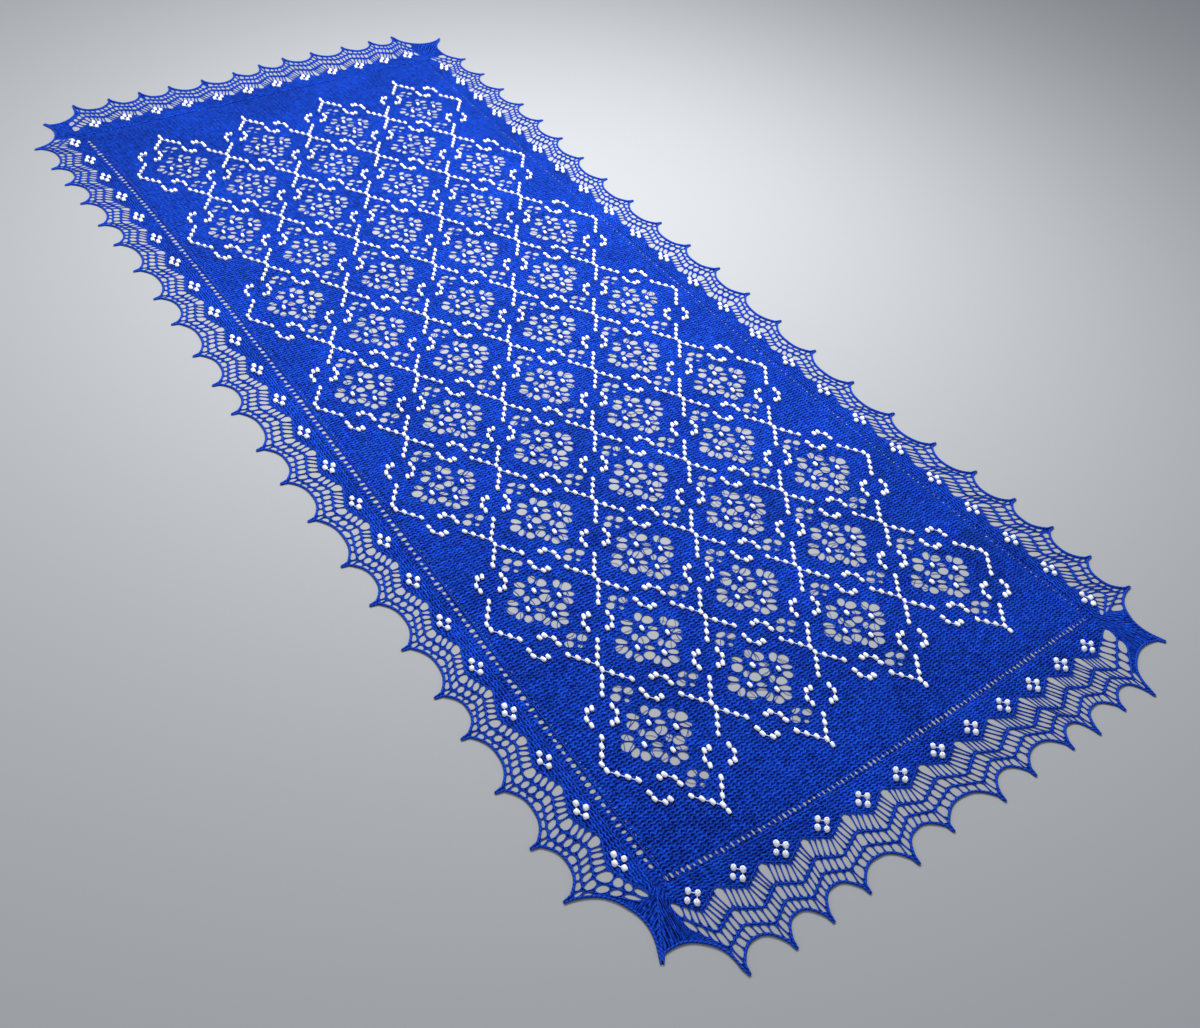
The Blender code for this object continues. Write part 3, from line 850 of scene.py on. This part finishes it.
def white_glass():
    """Milky white glass with a fire-polished skin, painted slightly bluer and duller here and there
    as a reflection of the blue wool.
    """
    milky = Finish("white_glass", (0.9, 0.92, 0.95))
    # A noise spreads the painted reflection, a bluish grey, in patches over the white.
    blue_reflection_mask = milky.noise(260.0, 2.0)["Fac"]
    milky.colour(milky.ramp(blue_reflection_mask, (0.35, (0.84, 0.89, 0.95)), (0.55, (0.97, 0.98, 0.98))))
    milky.surface({"Roughness": 0.12, "Coat Weight": 0.6, "Coat Roughness": 0.04, "IOR": 1.52,
                   "Subsurface Weight": 0.7, "Subsurface Radius": (1.0, 1.0, 1.0),
                   "Subsurface Scale": 2.5 * MM})
    return milky.material


def bead_at(x, y, slant):
    """A bead on the blocked panel, with its hole up the column and leaning with its line."""
    turn = radians(either_way(BEAD_TURN)) - slant * radians(BEAD_LEAN)
    tilt = radians(random.uniform(*BEAD_TIP))
    lie = BEAD_LIE + random.uniform(*BEAD_RAISE) * MM
    return (*trellis_point(x, y), lie), turn, tilt, random.uniform(*BEAD_SIZE)


trellis_beads = {}
bead_links = []
for run, slant in bead_runs():
    for stitch, row in run:
        if (stitch, row) not in trellis_beads:
            trellis_beads[stitch, row] = bead_at(stitch * STITCH, row * ROW, slant)
    bead_links.extend((trellis_beads[a][0], trellis_beads[b][0]) for a, b in zip(run, run[1:]))

FLOWER_BEAD_BELOW = 6.2          # millimetres from a knot down to its bead
FLOWER_BEAD_KNOTS = (TOP_KNOT, SIDE_KNOT, (-SIDE_KNOT[0], SIDE_KNOT[1]), FOOT_KNOT)
flower_beads = [bead_at(diamond_x + x * MM, diamond_y + (y - FLOWER_BEAD_BELOW) * MM, 0)
                for diamond_x, diamond_y in diamond_centres() for x, y in FLOWER_BEAD_KNOTS]

glass = white_glass()
trellis_bead_piece = laid(bead_piece("trellis_beads", trellis_beads.values()), glass)
flower_bead_piece = laid(bead_piece("flower_beads", flower_beads), glass)

# ---------------------------------------------------------------- thread between the beads
# A fine white thread, smoother than the wool, shows where it runs from one bead of a line into the
# next. The holes of the two beads hold it, and it lies close to the cloth between them.

LINK_RADIUS = 0.4 * MM
LINK_ALONG = np.array((0.25, 0.5, 0.75))[:, None]
LINK_LIE = PANEL_TOP + np.array((1.0, 0.8, 1.0)) * MM


def thread_piece(name, links):
    """Thread from the first bead to the second of each pair, sagging a little between them."""
    strands = []
    for start, end in np.array(links):
        points = start + (end - start) * LINK_ALONG
        points[:, 2] = LINK_LIE
        strands.append((points, LINK_RADIUS, False))
    return yarn_piece(name, strands)


def white_thread():
    spun = Finish("white_thread", (0.7, 0.78, 0.92))
    fibre = spun.noise(1800.0, 3.0)["Fac"]
    spun.colour(spun.ramp(fibre, (0.3, (0.5, 0.62, 0.88)), (0.6, (0.85, 0.9, 0.97))))
    spun.relief(fibre, strength=0.4, distance=0.2 * MM)
    spun.surface({"Roughness": 0.55})
    return spun.material


thread = white_thread()
trellis_thread = laid(thread_piece("trellis_thread", bead_links), thread)

# ---------------------------------------------------------------- edgings
# Four lengths of edging are knitted outwards from the joins: first a dense band with a flower of
# four beads to each scallop, then ladders of single strands between two zigzag cords, and last a
# stout bound-off rim that was pinned out at every tip. Dense wedges fill the corners.

# A line of the edging lies this many millimetres out from the join at its peaks, its valleys and
# its ends, and follows this share of the pull on the tips. A profile is one repeat: the tips of a
# side and the pitch between them, its lines, how far out the scallops' tops, their roots and the
# tails reach, how far the wedges start beyond the corners, and the flower of beads.
Line = namedtuple("Line", "peak valley corner follow")
Profile = namedtuple(
    "Profile", "tips pitch band cord_1 cord_2 scallop_top root tail wedge flower beads")
# The flower is the middle of its beads, and each bead is given along and out from there.
SHORT_PROFILE = Profile(
    tips=12, pitch=42.0,
    band=Line(18.5, 30.5, 12.0, 0.1),
    cord_1=Line(37.5, 48.5, 27.0, 0.5),
    cord_2=Line(50.0, 60.5, 39.0, 0.9),
    scallop_top=62.0, root=76.5, tail=84.0, wedge=0.0,
    flower=19.0, beads=((0.0, -5.6), (-5.3, 0.2), (5.3, -0.4), (0.0, 5.4)),
)
LONG_PROFILE = Profile(
    tips=23, pitch=54.0,
    band=Line(10.5, 21.5, 6.0, 0.1),
    cord_1=Line(22.0, 32.5, 11.5, 0.5),
    cord_2=Line(31.0, 42.0, 17.0, 0.9),
    scallop_top=39.5, root=51.5, tail=59.0, wedge=-3.0,
    flower=11.0, beads=((-6.9, 0.4), (0.3, -4.2), (-0.3, 4.2), (6.9, 0.2)),
)

# How each side came off the blocking pins, in millimetres. A lean is a change towards the side's
# end. The slide and crowding move the scallops along, the fan moves the tips on from their flowers,
# and the tilt and flare move them outwards. The pins stand off those places in waves: the size, the
# radians from tip to tip and the start of each.
Wave = namedtuple("Wave", "size turn start")
Blocking = namedtuple(
    "Blocking", "slide crowding crowding_lean fan fan_lean tilt flare pins_along pins_out")
NEAR_BLOCKING = Blocking(
    slide=-11.0, crowding=4.0, crowding_lean=8.0, fan=7.0, fan_lean=14.0, tilt=-1.0, flare=6.0,
    pins_along=(Wave(7.9, 0.8, 2.1), Wave(3.6, 2.8, -2.5)),
    pins_out=(Wave(2.4, 2.6, -2.2), Wave(1.9, 0.7, 1.0)),
)
RIGHT_BLOCKING = Blocking(
    slide=-9.0, crowding=-8.0, crowding_lean=54.0, fan=5.0, fan_lean=19.0, tilt=-2.0, flare=4.0,
    pins_along=(Wave(6.0, 0.4, 3.2), Wave(4.1, 0.8, 0.5)),
    pins_out=(Wave(3.7, 0.8, -0.7), Wave(2.6, 0.35, 2.2)),
)
FAR_BLOCKING = Blocking(
    slide=-4.0, crowding=-2.0, crowding_lean=12.0, fan=-3.0, fan_lean=9.0, tilt=-5.0, flare=0.0,
    pins_along=(Wave(3.3, 1.45, 2.7), Wave(3.0, 0.7, -0.7)),
    pins_out=(Wave(4.4, 0.75, -0.9), Wave(2.0, 1.5, 1.7)),
)
LEFT_BLOCKING = Blocking(
    slide=-6.0, crowding=-16.0, crowding_lean=33.0, fan=0.0, fan_lean=10.0, tilt=2.0, flare=2.0,
    pins_along=(Wave(3.7, 0.8, 1.0), Wave(3.4, 2.25, -0.8)),
    pins_out=(Wave(2.4, 0.45, 3.5), Wave(1.9, 0.6, 0.15)),
)

SCALLOP_POWER = 2.5              # roundness of the arc between two tips
CORNER_DEPTH_SHARE = 0.24        # depth of a corner scallop over its chord
CORNER_RIM_SHARE = 0.6           # how much of that scallop's rim lies along the dense wedge
TAIL_HALF_WIDTH = 1.0 * MM
ROOT_HALF_WIDTH = 1.6 * MM
CORNER_TAIL = 8.0 * MM
WEDGE_TURN = 16.0 * MM           # the rows turn halfway to the mitre over this length

BAND_TOP = 1.7 * MM
LACE_TOP = 0.55 * MM
BAND_ROW = 2.95 * MM
LACE_STEP = 2.4 * MM             # length of one segment of a cord or rim
GAP_CORNERS = 10

# Each ladder's rungs over half a scallop, as shares of the way from the peak of its inner line to
# its valley, and the same along its outer line. The first splay from under each bead flower. Then
# the cloth left beside a gap, in millimetres, along its inner line, its outer line and each rung,
# and how much of each side a gap's cut corners take.
Ladder = namedtuple("Ladder", "rungs inner outer rung cut")
LADDERS = (
    Ladder(((0.24, 0.08), (0.44, 0.20), (0.62, 0.38), (0.80, 0.60), (0.96, 0.84)),
           0.5, 0.65, 0.3, 0.22),
    Ladder(((0.17, 0.14), (0.40, 0.36), (0.64, 0.60), (0.88, 0.86)), 0.7, 0.7, 0.32, 0.22),
    Ladder(((0.15, 0.14), (0.42, 0.38), (0.70, 0.64), (0.97, 0.94)), 0.7, 0.95, 0.36, 0.22),
)
# Beyond each tip of a long edging they are rounder holes with thicker walls, like a net.
NETS = (
    Ladder(((0.20, 0.10), (0.42, 0.28), (0.62, 0.48), (0.82, 0.70)), 0.45, 0.5, 0.38, 0.28),
    Ladder(((0.13, 0.10), (0.38, 0.34), (0.63, 0.60), (0.88, 0.86)), 0.55, 0.5, 0.48, 0.3),
    Ladder(((0.22, 0.20), (0.47, 0.44), (0.73, 0.68), (0.97, 0.93)), 0.5, 0.9, 0.48, 0.3),
)

CornerEnd = namedtuple("CornerEnd", "seam tip tail root")


class Edging:
    """One side's edging: s runs along its join, and d runs outwards from it."""

    def __init__(self, name, join, profile, blocking, fullness, tipped_up):
        self.name = name
        self.join = join
        self.profile = profile
        self.blocking = blocking
        self.fullness = fullness         # of its strands: the less a side is stretched, the fuller
        self.tipped_up = tipped_up       # degrees that a bead's far end is tipped up
        self.half = join.half
        self.along = join.along
        self.outward = join.outward
        self.point = join.point
        self.tail = (profile.tail - profile.root) * MM * join.outward

    def flower(self, k):
        """Place along the side of bead flower k, which has a scallop tip beyond it."""
        regular = (k - (self.profile.tips - 1) / 2) * self.profile.pitch * MM
        v = regular / self.half
        crowded = (1.0 - v * v) * (self.blocking.crowding + self.blocking.crowding_lean * v)
        return regular + (self.blocking.slide + crowded) * MM

    def pull(self, k):
        """How far tip k is pinned off its regular place, along the side and outwards."""
        v = self.flower(k) / self.half
        blocking = self.blocking
        shift = blocking.fan + blocking.fan_lean * v + waves(blocking.pins_along, k)
        out = blocking.tilt * v + blocking.flare * v ** 4 + waves(blocking.pins_out, k)
        return shift * MM, out * MM

    def pulled(self, k, d, follow):
        """Point below bead flower k, or halfway between two flowers for a k that ends in a half."""
        near, far = self.pull(int(k)), self.pull(int(k + 0.5))
        shift, out = ((a + b) / 2 * follow for a, b in zip(near, far))
        return self.point(self.flower(k) + shift, d * MM + out)

    def zigzag(self, line):
        """Corners of a line: its ends at the wedges, with valleys and peaks between them."""
        end = self.half - self.profile.wedge * MM
        run = [self.point(-end, line.corner * MM)]
        for k in range(self.profile.tips):
            if k:
                run.append(self.pulled(k - 0.5, line.peak, line.follow))
            run.append(self.pulled(k, line.valley, line.follow))
        run.append(self.point(end, line.corner * MM))
        return np.array(run)

    def mitre(self, end):
        """Where the mitre starts and ends at a corner, its heading, and the way into this side."""
        start, tip = (np.array(place) * MM for place in self.join.corners[end > 0])
        heading = (tip - start) / np.linalg.norm(tip - start)
        return start, tip, heading, right_of(heading, end)

    def corner(self, end):
        """The seam's start, its tip, and the corner tail's two points on this side."""
        start, tip, heading, into = self.mitre(end)
        half_gap = SEAM_GAP / 2
        step = half_gap * (1.0 - into @ self.outward) / (heading @ self.outward)
        return CornerEnd(start + into * half_gap + heading * step, tip + into * half_gap,
                         tip + into * TAIL_HALF_WIDTH,
                         tip - heading * CORNER_TAIL + into * ROOT_HALF_WIDTH)

    def chart(self, x, y):
        """Stitch and row of the edging at a point. In the wedges the rows turn to the mitre."""
        places = np.column_stack((x, y))
        s = (places - self.join.middle) @ self.along
        d = (places - self.join.middle) @ self.outward + self.join.drawn_in(s)
        for end in (-1, 1):
            start, _, heading, _ = self.mitre(end)
            across = right_of(heading + self.outward, end)
            across = across / np.linalg.norm(across)
            turned = np.clip((end * s - self.half) / WEDGE_TURN + 0.5, 0.0, 1.0)
            d = d + ((places - start) @ across - d) * turned
        return s / STITCH, d / BAND_ROW

    def scallops(self):
        """Functions that give a point of each scallop's arc, for a share of the way along it."""
        step = self.along * ROOT_HALF_WIDTH
        roots = [self.pulled(k, self.profile.root, 1.0) for k in range(self.profile.tips)]
        starts = [self.corner(-1).root, *(root + step for root in roots)]
        ends = [*(root - step for root in roots), self.corner(1).root]
        depths = [(self.profile.root - self.profile.scallop_top) * MM] * len(starts)
        for k in (0, -1):
            depths[k] = np.linalg.norm(ends[k] - starts[k]) * CORNER_DEPTH_SHARE
        return [scallop(*arc) for arc in zip(starts, ends, depths)]


def waves(pins, k):
    return sum(pin.size * sin(pin.turn * k + pin.start) for pin in pins)


def scallop(start, end, depth):
    chord = end - start
    inward = right_of(chord, -1) / np.linalg.norm(chord)

    def arc(t):
        share = 1.0 - abs(2.0 * t - 1.0) ** SCALLOP_POWER
        return start + chord * t + inward * depth * share

    return arc


BEND_SHARES = (0.0, 0.33, 0.67, 1.0)


def rounded(points, cut, step):
    """Even points along a line of straight runs with rounded corners, and for each of them its
    place along the line, counted in runs."""
    smooth = [(*points[0], 0.0)]
    for number in range(1, len(points) - 1):
        before, corner, after = points[number - 1:number + 2]
        into_share = cut / np.linalg.norm(before - corner)
        out_share = cut / np.linalg.norm(after - corner)
        into = corner + (before - corner) * into_share
        out = corner + (after - corner) * out_share
        for t in BEND_SHARES:
            bend = into * (1 - t) ** 2 + corner * 2 * t * (1 - t) + out * t ** 2
            smooth.append((*bend, number - into_share * (1 - t) ** 2 + out_share * t ** 2))
    smooth.append((*points[-1], len(points) - 1.0))
    smooth = np.array(smooth)
    lengths = lengths_to(smooth[:, :2])
    even = np.linspace(0.0, lengths[-1], int(lengths[-1] / step) + 2)
    x, y, place = (np.interp(even, lengths, smooth[:, i]) for i in range(3))
    return np.column_stack((x, y)), place


UNEVEN_LIE = 0.12 * MM
UNEVEN_TURN = 0.9                # radians of its wave to a step
UNEVEN_STARTS = (0, 6)


def raised(points, height):
    """The points at a height that rises and falls a little."""
    turn = np.arange(len(points)) * UNEVEN_TURN + random.uniform(*UNEVEN_STARTS)
    return np.column_stack((points, height + np.sin(turn) * UNEVEN_LIE))


def zigzag_course(run):
    """Point on a zigzag for a place along it, counted in half scallops, and where it bends."""

    def at(place):
        number = min(int(place), len(run) - 2)
        return run[number] + (run[number + 1] - run[number]) * (place - number)

    return at, [float(bend) for bend in range(len(run))]


def rim_course(side):
    """The same for the scalloped rim, whose end scallops start at the corner tails."""
    arcs = side.scallops()
    last = 2 * side.profile.tips

    def at(place):
        number = min(int((place + 1) / 2), len(arcs) - 1)
        share = (place - 2 * number + 1) / 2
        if number == 0:
            share = CORNER_RIM_SHARE + (1.0 - CORNER_RIM_SHARE) * place
        elif number == len(arcs) - 1:
            share = (1.0 - CORNER_RIM_SHARE) * (place - last + 1)
        return arcs[number](share)

    return at, [step / 4 for step in range(4 * last + 1)]


def is_net(side, half):
    """Whether this half scallop, counted from the side's start, is a net and not ladders."""
    return side.profile is LONG_PROFILE and half % 2 == 1


RUNG_OFF = (0.02, 0.025)         # how far a rung may lie off its inner and its outer place


def ladder_rungs(side, tier):
    """Where a ladder's rungs meet its inner and outer lines, and the ladder that follows each."""
    end = 2 * side.profile.tips
    for half in range(end):
        ladder = (NETS if is_net(side, half) else LADDERS)[tier]
        if half == 0:
            yield 0.0, 0.0, ladder
        rungs = ladder.rungs[1:] if half in (0, end - 1) else ladder.rungs
        is_back = half % 2 == 1
        for rung in rungs[::-1] if is_back else rungs:
            shares = [share + either_way(off) for share, off in zip(rung, RUNG_OFF)]
            yield *(half + 1 - share if is_back else half + share for share in shares), ladder
    yield end, end, ladder


BEND_CLEAR = 0.04                # a bend this near a rung is left out


def stretch(course, start, end):
    """Points of a course from one place to another, with its bends between them."""
    at, bends = course
    between = (bend for bend in bends if start + BEND_CLEAR < bend < end - BEND_CLEAR)
    return [at(start), *map(at, between), at(end)]


SMALLEST_GAP = 2.5 * MM ** 2
SHORTEST_SIDE = 0.1 * MM
STRAIGHT = 0.2                   # sine of the turn below which a corner counts as straight


def gap_in(cell, clearances, cut):
    """Rounded outline of the gap in a cell, its sides moved in by their clearances."""
    run = unit(np.roll(cell, -1, axis=0) - cell)
    turned = np.sign(np.cross(cell, np.roll(cell, -1, axis=0)).sum())
    inward = np.column_stack((-run[:, 1], run[:, 0])) * turned
    loop = np.empty_like(cell)
    for number, place in enumerate(cell):
        facing, moves = inward[[number - 1, number]], clearances[[number - 1, number]]
        if abs(np.linalg.det(facing)) < STRAIGHT:
            loop[number] = place + moves @ facing / 2
        else:
            loop[number] = place + np.linalg.solve(facing, moves)
    ahead = np.roll(loop, -1, axis=0)
    area = np.cross(loop, ahead).sum() * turned / 2
    if area < SMALLEST_GAP or (((ahead - loop) * run).sum(axis=1) < SHORTEST_SIDE).any():
        return None
    return rounded_loop(loop, cut, GAP_CORNERS)


def ladder_gaps(side):
    """Every gap of a side's three ladders."""
    lines = (side.profile.band, side.profile.cord_1, side.profile.cord_2)
    courses = [*(zigzag_course(side.zigzag(line)) for line in lines), rim_course(side)]
    gaps = []
    for tier, (inner, outer) in enumerate(zip(courses, courses[1:])):
        rungs = list(ladder_rungs(side, tier))
        for (in_0, out_0, _), (in_1, out_1, ladder) in zip(rungs, rungs[1:]):
            near, far = stretch(inner, in_0, in_1), stretch(outer, out_0, out_1)[::-1]
            clearances = [ladder.inner] * (len(near) - 1) + [ladder.rung]
            clearances += [ladder.outer] * (len(far) - 1) + [ladder.rung]
            clearances = np.array(clearances) * side.fullness * MM
            gaps.append(gap_in(np.array(near + far), clearances, ladder.cut))
    return [gap for gap in gaps if gap is not None]


CORD_RADIUS = 0.7 * MM
CORD_BEND = 3.5 * MM             # how far before a turn it starts to bend
NET_CORD_RADIUS = 0.42 * MM
BAND_CORD_RADIUS = 0.55 * MM
BAND_CORD_BEND = 3.0 * MM
CORD_LIE = 0.9 * MM
LADDER_YARN_RADIUS = 0.36 * MM


def cord_strands(side):
    for line in (side.profile.cord_1, side.profile.cord_2):
        run, place = rounded(side.zigzag(line), CORD_BEND, LACE_STEP)
        radius = [NET_CORD_RADIUS if is_net(side, int(half)) else CORD_RADIUS for half in place]
        yield raised(run, CORD_LIE), np.array(radius) * side.fullness, False
    run, _ = rounded(side.zigzag(side.profile.band), BAND_CORD_BEND, LACE_STEP)
    yield raised(run, CORD_LIE), BAND_CORD_RADIUS, False


RIM_RADIUS = 1.15 * MM
RIM_END = 0.55                   # share of its thickness left at a tail
RIM_LIE = 1.15 * MM
RIM_STEPS = 17                   # points of the bound-off edge round one scallop
TAIL_LEAN = 0.6                  # a tail's strands stand this share as far apart as at its root
MITRE_RADIUS = 0.75 * MM


def rim_strands(side):
    """The bound-off edge of each scallop, drawn down into the tails at both ends."""
    arcs = side.scallops()
    lean = side.along * ROOT_HALF_WIDTH * TAIL_LEAN
    for k, arc in enumerate(arcs):
        points = [arc(t) for t in np.linspace(0.0, 1.0, RIM_STEPS)]
        first = side.corner(-1).tail if k == 0 else points[0] + side.tail - lean
        last = side.corner(1).tail if k == len(arcs) - 1 else points[-1] + side.tail + lean
        radius = np.full(RIM_STEPS + 2, RIM_RADIUS)
        radius[[0, -1]] *= RIM_END
        yield raised(np.array([first, *points, last]), RIM_LIE), radius, False


def mitre_strand(side, end):
    """The seam stitches drawn tight down the mitre, which pull the two corner tails into one."""
    start, tip, heading, _ = side.mitre(end)
    length = np.linalg.norm(tip - start)
    reached = np.arange(0.0, length, LACE_STEP)
    share = reached / length
    lie = BAND_TOP - (BAND_TOP - RIM_LIE) * share
    radius = MITRE_RADIUS + (RIM_RADIUS - MITRE_RADIUS) * share ** 4
    return np.column_stack((start + np.multiply.outer(reached, heading), lie)), radius, False


OUTLINE_STEPS = 13               # points of the cloth's edge round one scallop
EDGING_JOIN_STEPS = 60           # and along its join


def edging_outline(side):
    """The edging's edge: round its scallops from one corner tail to the other, and the join."""
    outline = [*side.corner(-1)]
    tail_half = side.along * TAIL_HALF_WIDTH
    for k, arc in enumerate(side.scallops()):
        edge = [arc(t) for t in np.linspace(0.0, 1.0, OUTLINE_STEPS)]
        if k > 0:
            tip = (outline[-1] + edge[0]) / 2 + side.tail
            outline.extend((tip - tail_half, tip + tail_half, edge[0]))
        outline.extend(edge[1:])
    outline.pop()
    outline.extend(side.corner(1)[::-1])
    back = np.linspace(side.half, -side.half, EDGING_JOIN_STEPS)[1:-1]
    outline.extend(side.point(back, SEAM_GAP / 2))
    return np.array(outline)


BEYOND = 90 * MM                 # past the ends and the tips of every side
BAND_GROUND_START = 2.5 * MM     # out from the join
BAND_GROUND_STEP = 1.5 * BAND_ROW
BAND_SLOPE = 1.5 * MM            # width of the step from the band down to the lace
BAND_SLOPE_STEP = 4.0 * MM


def band_shape(side):
    """The dense part of an edging: along the join, down both wedges and along the band's edge."""
    wedge = side.half - side.profile.wedge * MM
    far = side.half + BEYOND
    ends = ((-far, 0.0), (-far, BEYOND), (-wedge, BEYOND),
            (wedge, BEYOND), (far, BEYOND), (far, 0.0))
    corners = [side.point(*end) for end in ends]
    return np.array([*corners[:3], *side.zigzag(side.profile.band), *corners[3:]])


def band_ground(side, outline, dense):
    """Points spread over the band and the wedges, and a row of them where it slopes to the lace."""
    s = np.arange(-side.half - BEYOND, side.half + BEYOND, STITCH)
    d = np.arange(BAND_GROUND_START, BEYOND, BAND_GROUND_STEP)
    edge, _ = rounded(side.zigzag(side.profile.band), BAND_CORD_BEND, BAND_SLOPE_STEP)
    slope = edge - side.outward * BAND_SLOPE
    grid = np.array([*(side.point(a, b) for a in s for b in d), *slope])
    return grid[inside(grid, outline) & inside(grid, dense)]


def edging_top(dense):
    wave_top = uneven_top(BAND_TOP)

    def top_at(x, y, is_rim):
        band = inside(np.stack((x, y), axis=1), dense) & ~is_rim
        return np.where(band, wave_top(x, y, is_rim), LACE_TOP)

    return top_at


EDGING_BEAD_RADIUS = 2.4 * MM
EDGING_BEAD_LENGTH = 4.6 * MM
EDGING_BEAD_LIE = BAND_TOP + 1.2 * MM
EDGING_BEAD_TURN = 16            # degrees either way
EDGING_BEAD_SIZE = (0.95, 1.06)
FLOWER_FOLLOW = 0.1              # how much of a tip's pull reaches its flower


def edging_beads(side):
    """The four beads of each flower of a side, and the pairs of them that thread joins."""
    beads, links = [], []
    for k in range(side.profile.tips):
        for along, out in side.profile.beads:
            place = side.pulled(k, side.profile.flower + out, FLOWER_FOLLOW)
            x, y = place + side.along * along * MM
            turn = radians(either_way(EDGING_BEAD_TURN))
            tilt = radians(random.uniform(*side.tipped_up))
            beads.append(((x, y, EDGING_BEAD_LIE), turn, tilt, random.uniform(*EDGING_BEAD_SIZE)))
        first, _, third, last = (bead[0] for bead in beads[-4:])
        links.extend(((first, third), (third, last)))
    return beads, links


EDGINGS = (
    Edging("edging_near", NEAR_JOIN, SHORT_PROFILE, NEAR_BLOCKING,
           fullness=1.0, tipped_up=(50, 80)),
    Edging("edging_right", RIGHT_JOIN, LONG_PROFILE, RIGHT_BLOCKING,
           fullness=1.1, tipped_up=(12, 40)),
    Edging("edging_far", FAR_JOIN, SHORT_PROFILE, FAR_BLOCKING,
           fullness=1.4, tipped_up=(12, 40)),
    Edging("edging_left", LEFT_JOIN, LONG_PROFILE, LEFT_BLOCKING,
           fullness=1.1, tipped_up=(12, 40)),
)

band_wool = knitted_wool("band_wool", ridge_share=0.40)
# The cords' two blues are their painted shade in the ply grooves and their painted highlight on the
# ply crowns.
cord_wool = twisted_wool("cord_wool", groove_shade=(0.0016, 0.0123, 0.156), crown_highlight=(0.0115, 0.0672, 0.508),
                         lay=3.6 * MM)
for side in EDGINGS:
    outline, dense, gaps = edging_outline(side), band_shape(side), ladder_gaps(side)
    band = cloth_shell(side.name + "_cloth", outline, gaps, band_ground(side, outline, dense),
                       edging_top(dense), side.chart)
    lace = yarn_piece(side.name + "_ladders",
                      [round_eyelet(gap, LADDER_YARN_RADIUS * side.fullness) for gap in gaps])
    strands = [*cord_strands(side), *rim_strands(side)]
    if side.profile is SHORT_PROFILE:
        strands.extend(mitre_strand(side, end) for end in (-1, 1))
    cords = yarn_piece(side.name + "_cords", strands, sides=6)
    places, links = edging_beads(side)
    beads = bead_piece(side.name + "_beads", places, EDGING_BEAD_RADIUS, EDGING_BEAD_LENGTH)
    joining = thread_piece(side.name + "_thread", links)
    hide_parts(side.name)
    for piece, material in ((band, band_wool), (lace, yarn_wool), (cords, cord_wool)):
        laid(piece, material)
    for piece, material in ((beads, glass), (joining, thread)):
        laid(piece, material)
    area = sum(face.area for face in band.data.polygons) / 2

# ---------------------------------------------------------------- floor, light and camera
# The shawl lies on a pale, matt studio floor. One broad soft light hangs above its far half, and a
# weaker one fills in from the side.

FLOOR_GREY = (0.279, 0.287, 0.295)

bpy.ops.mesh.primitive_plane_add(size=12.0)
floor = bpy.context.object
floor.name = "studio_floor"
matt = Finish("studio_floor", FLOOR_GREY)
matt.surface({"Base Color": (*FLOOR_GREY, 1.0), "Roughness": 0.9})
floor.data.materials.append(matt.material)


def soft_light(name, place, target, size, power):
    lamp = bpy.data.lights.new(name, "AREA")
    lamp.shape = "DISK"
    lamp.size = size
    lamp.energy = power
    holder = bpy.data.objects.new(name, lamp)
    bpy.context.collection.objects.link(holder)
    holder.location = place
    holder.rotation_euler = (Vector(target) - Vector(place)).to_track_quat("-Z", "Y").to_euler()


soft_light("key_light", place=(0.28, 0.26, 1.05), target=(0.08, 0.12, 0.0), size=0.45, power=26.2)
soft_light("fill_light", place=(-1.4, 0.9, 1.6), target=(0.0, 0.0, 0.0), size=1.5, power=11.0)
world = bpy.data.worlds.new("studio")
world.use_nodes = True
sky = world.node_tree.nodes["Background"].inputs
sky["Color"].default_value = (0.85, 0.9, 1.0, 1.0)
sky["Strength"].default_value = 0.512
bpy.context.scene.world = world

camera_data = bpy.data.cameras.new("camera")
camera_data.lens = 37.47
camera_data.sensor_width = 36.0
camera = bpy.data.objects.new("camera", camera_data)
bpy.context.collection.objects.link(camera)
right = Vector((0.8167, -0.5691, 0.0954))
down = Vector((-0.3481, -0.6177, -0.7052))
forward = Vector((0.4602, 0.5427, -0.7026))
place = Vector((*TRELLIS_MIDDLE, 0.0)) + Vector((-0.624, -0.930, 0.8525))
turned = Matrix((right, -down, -forward)).transposed()
camera.matrix_world = Matrix.Translation(place) @ turned.to_4x4()
bpy.context.scene.camera = camera
bpy.context.scene.view_settings.view_transform = "Standard"
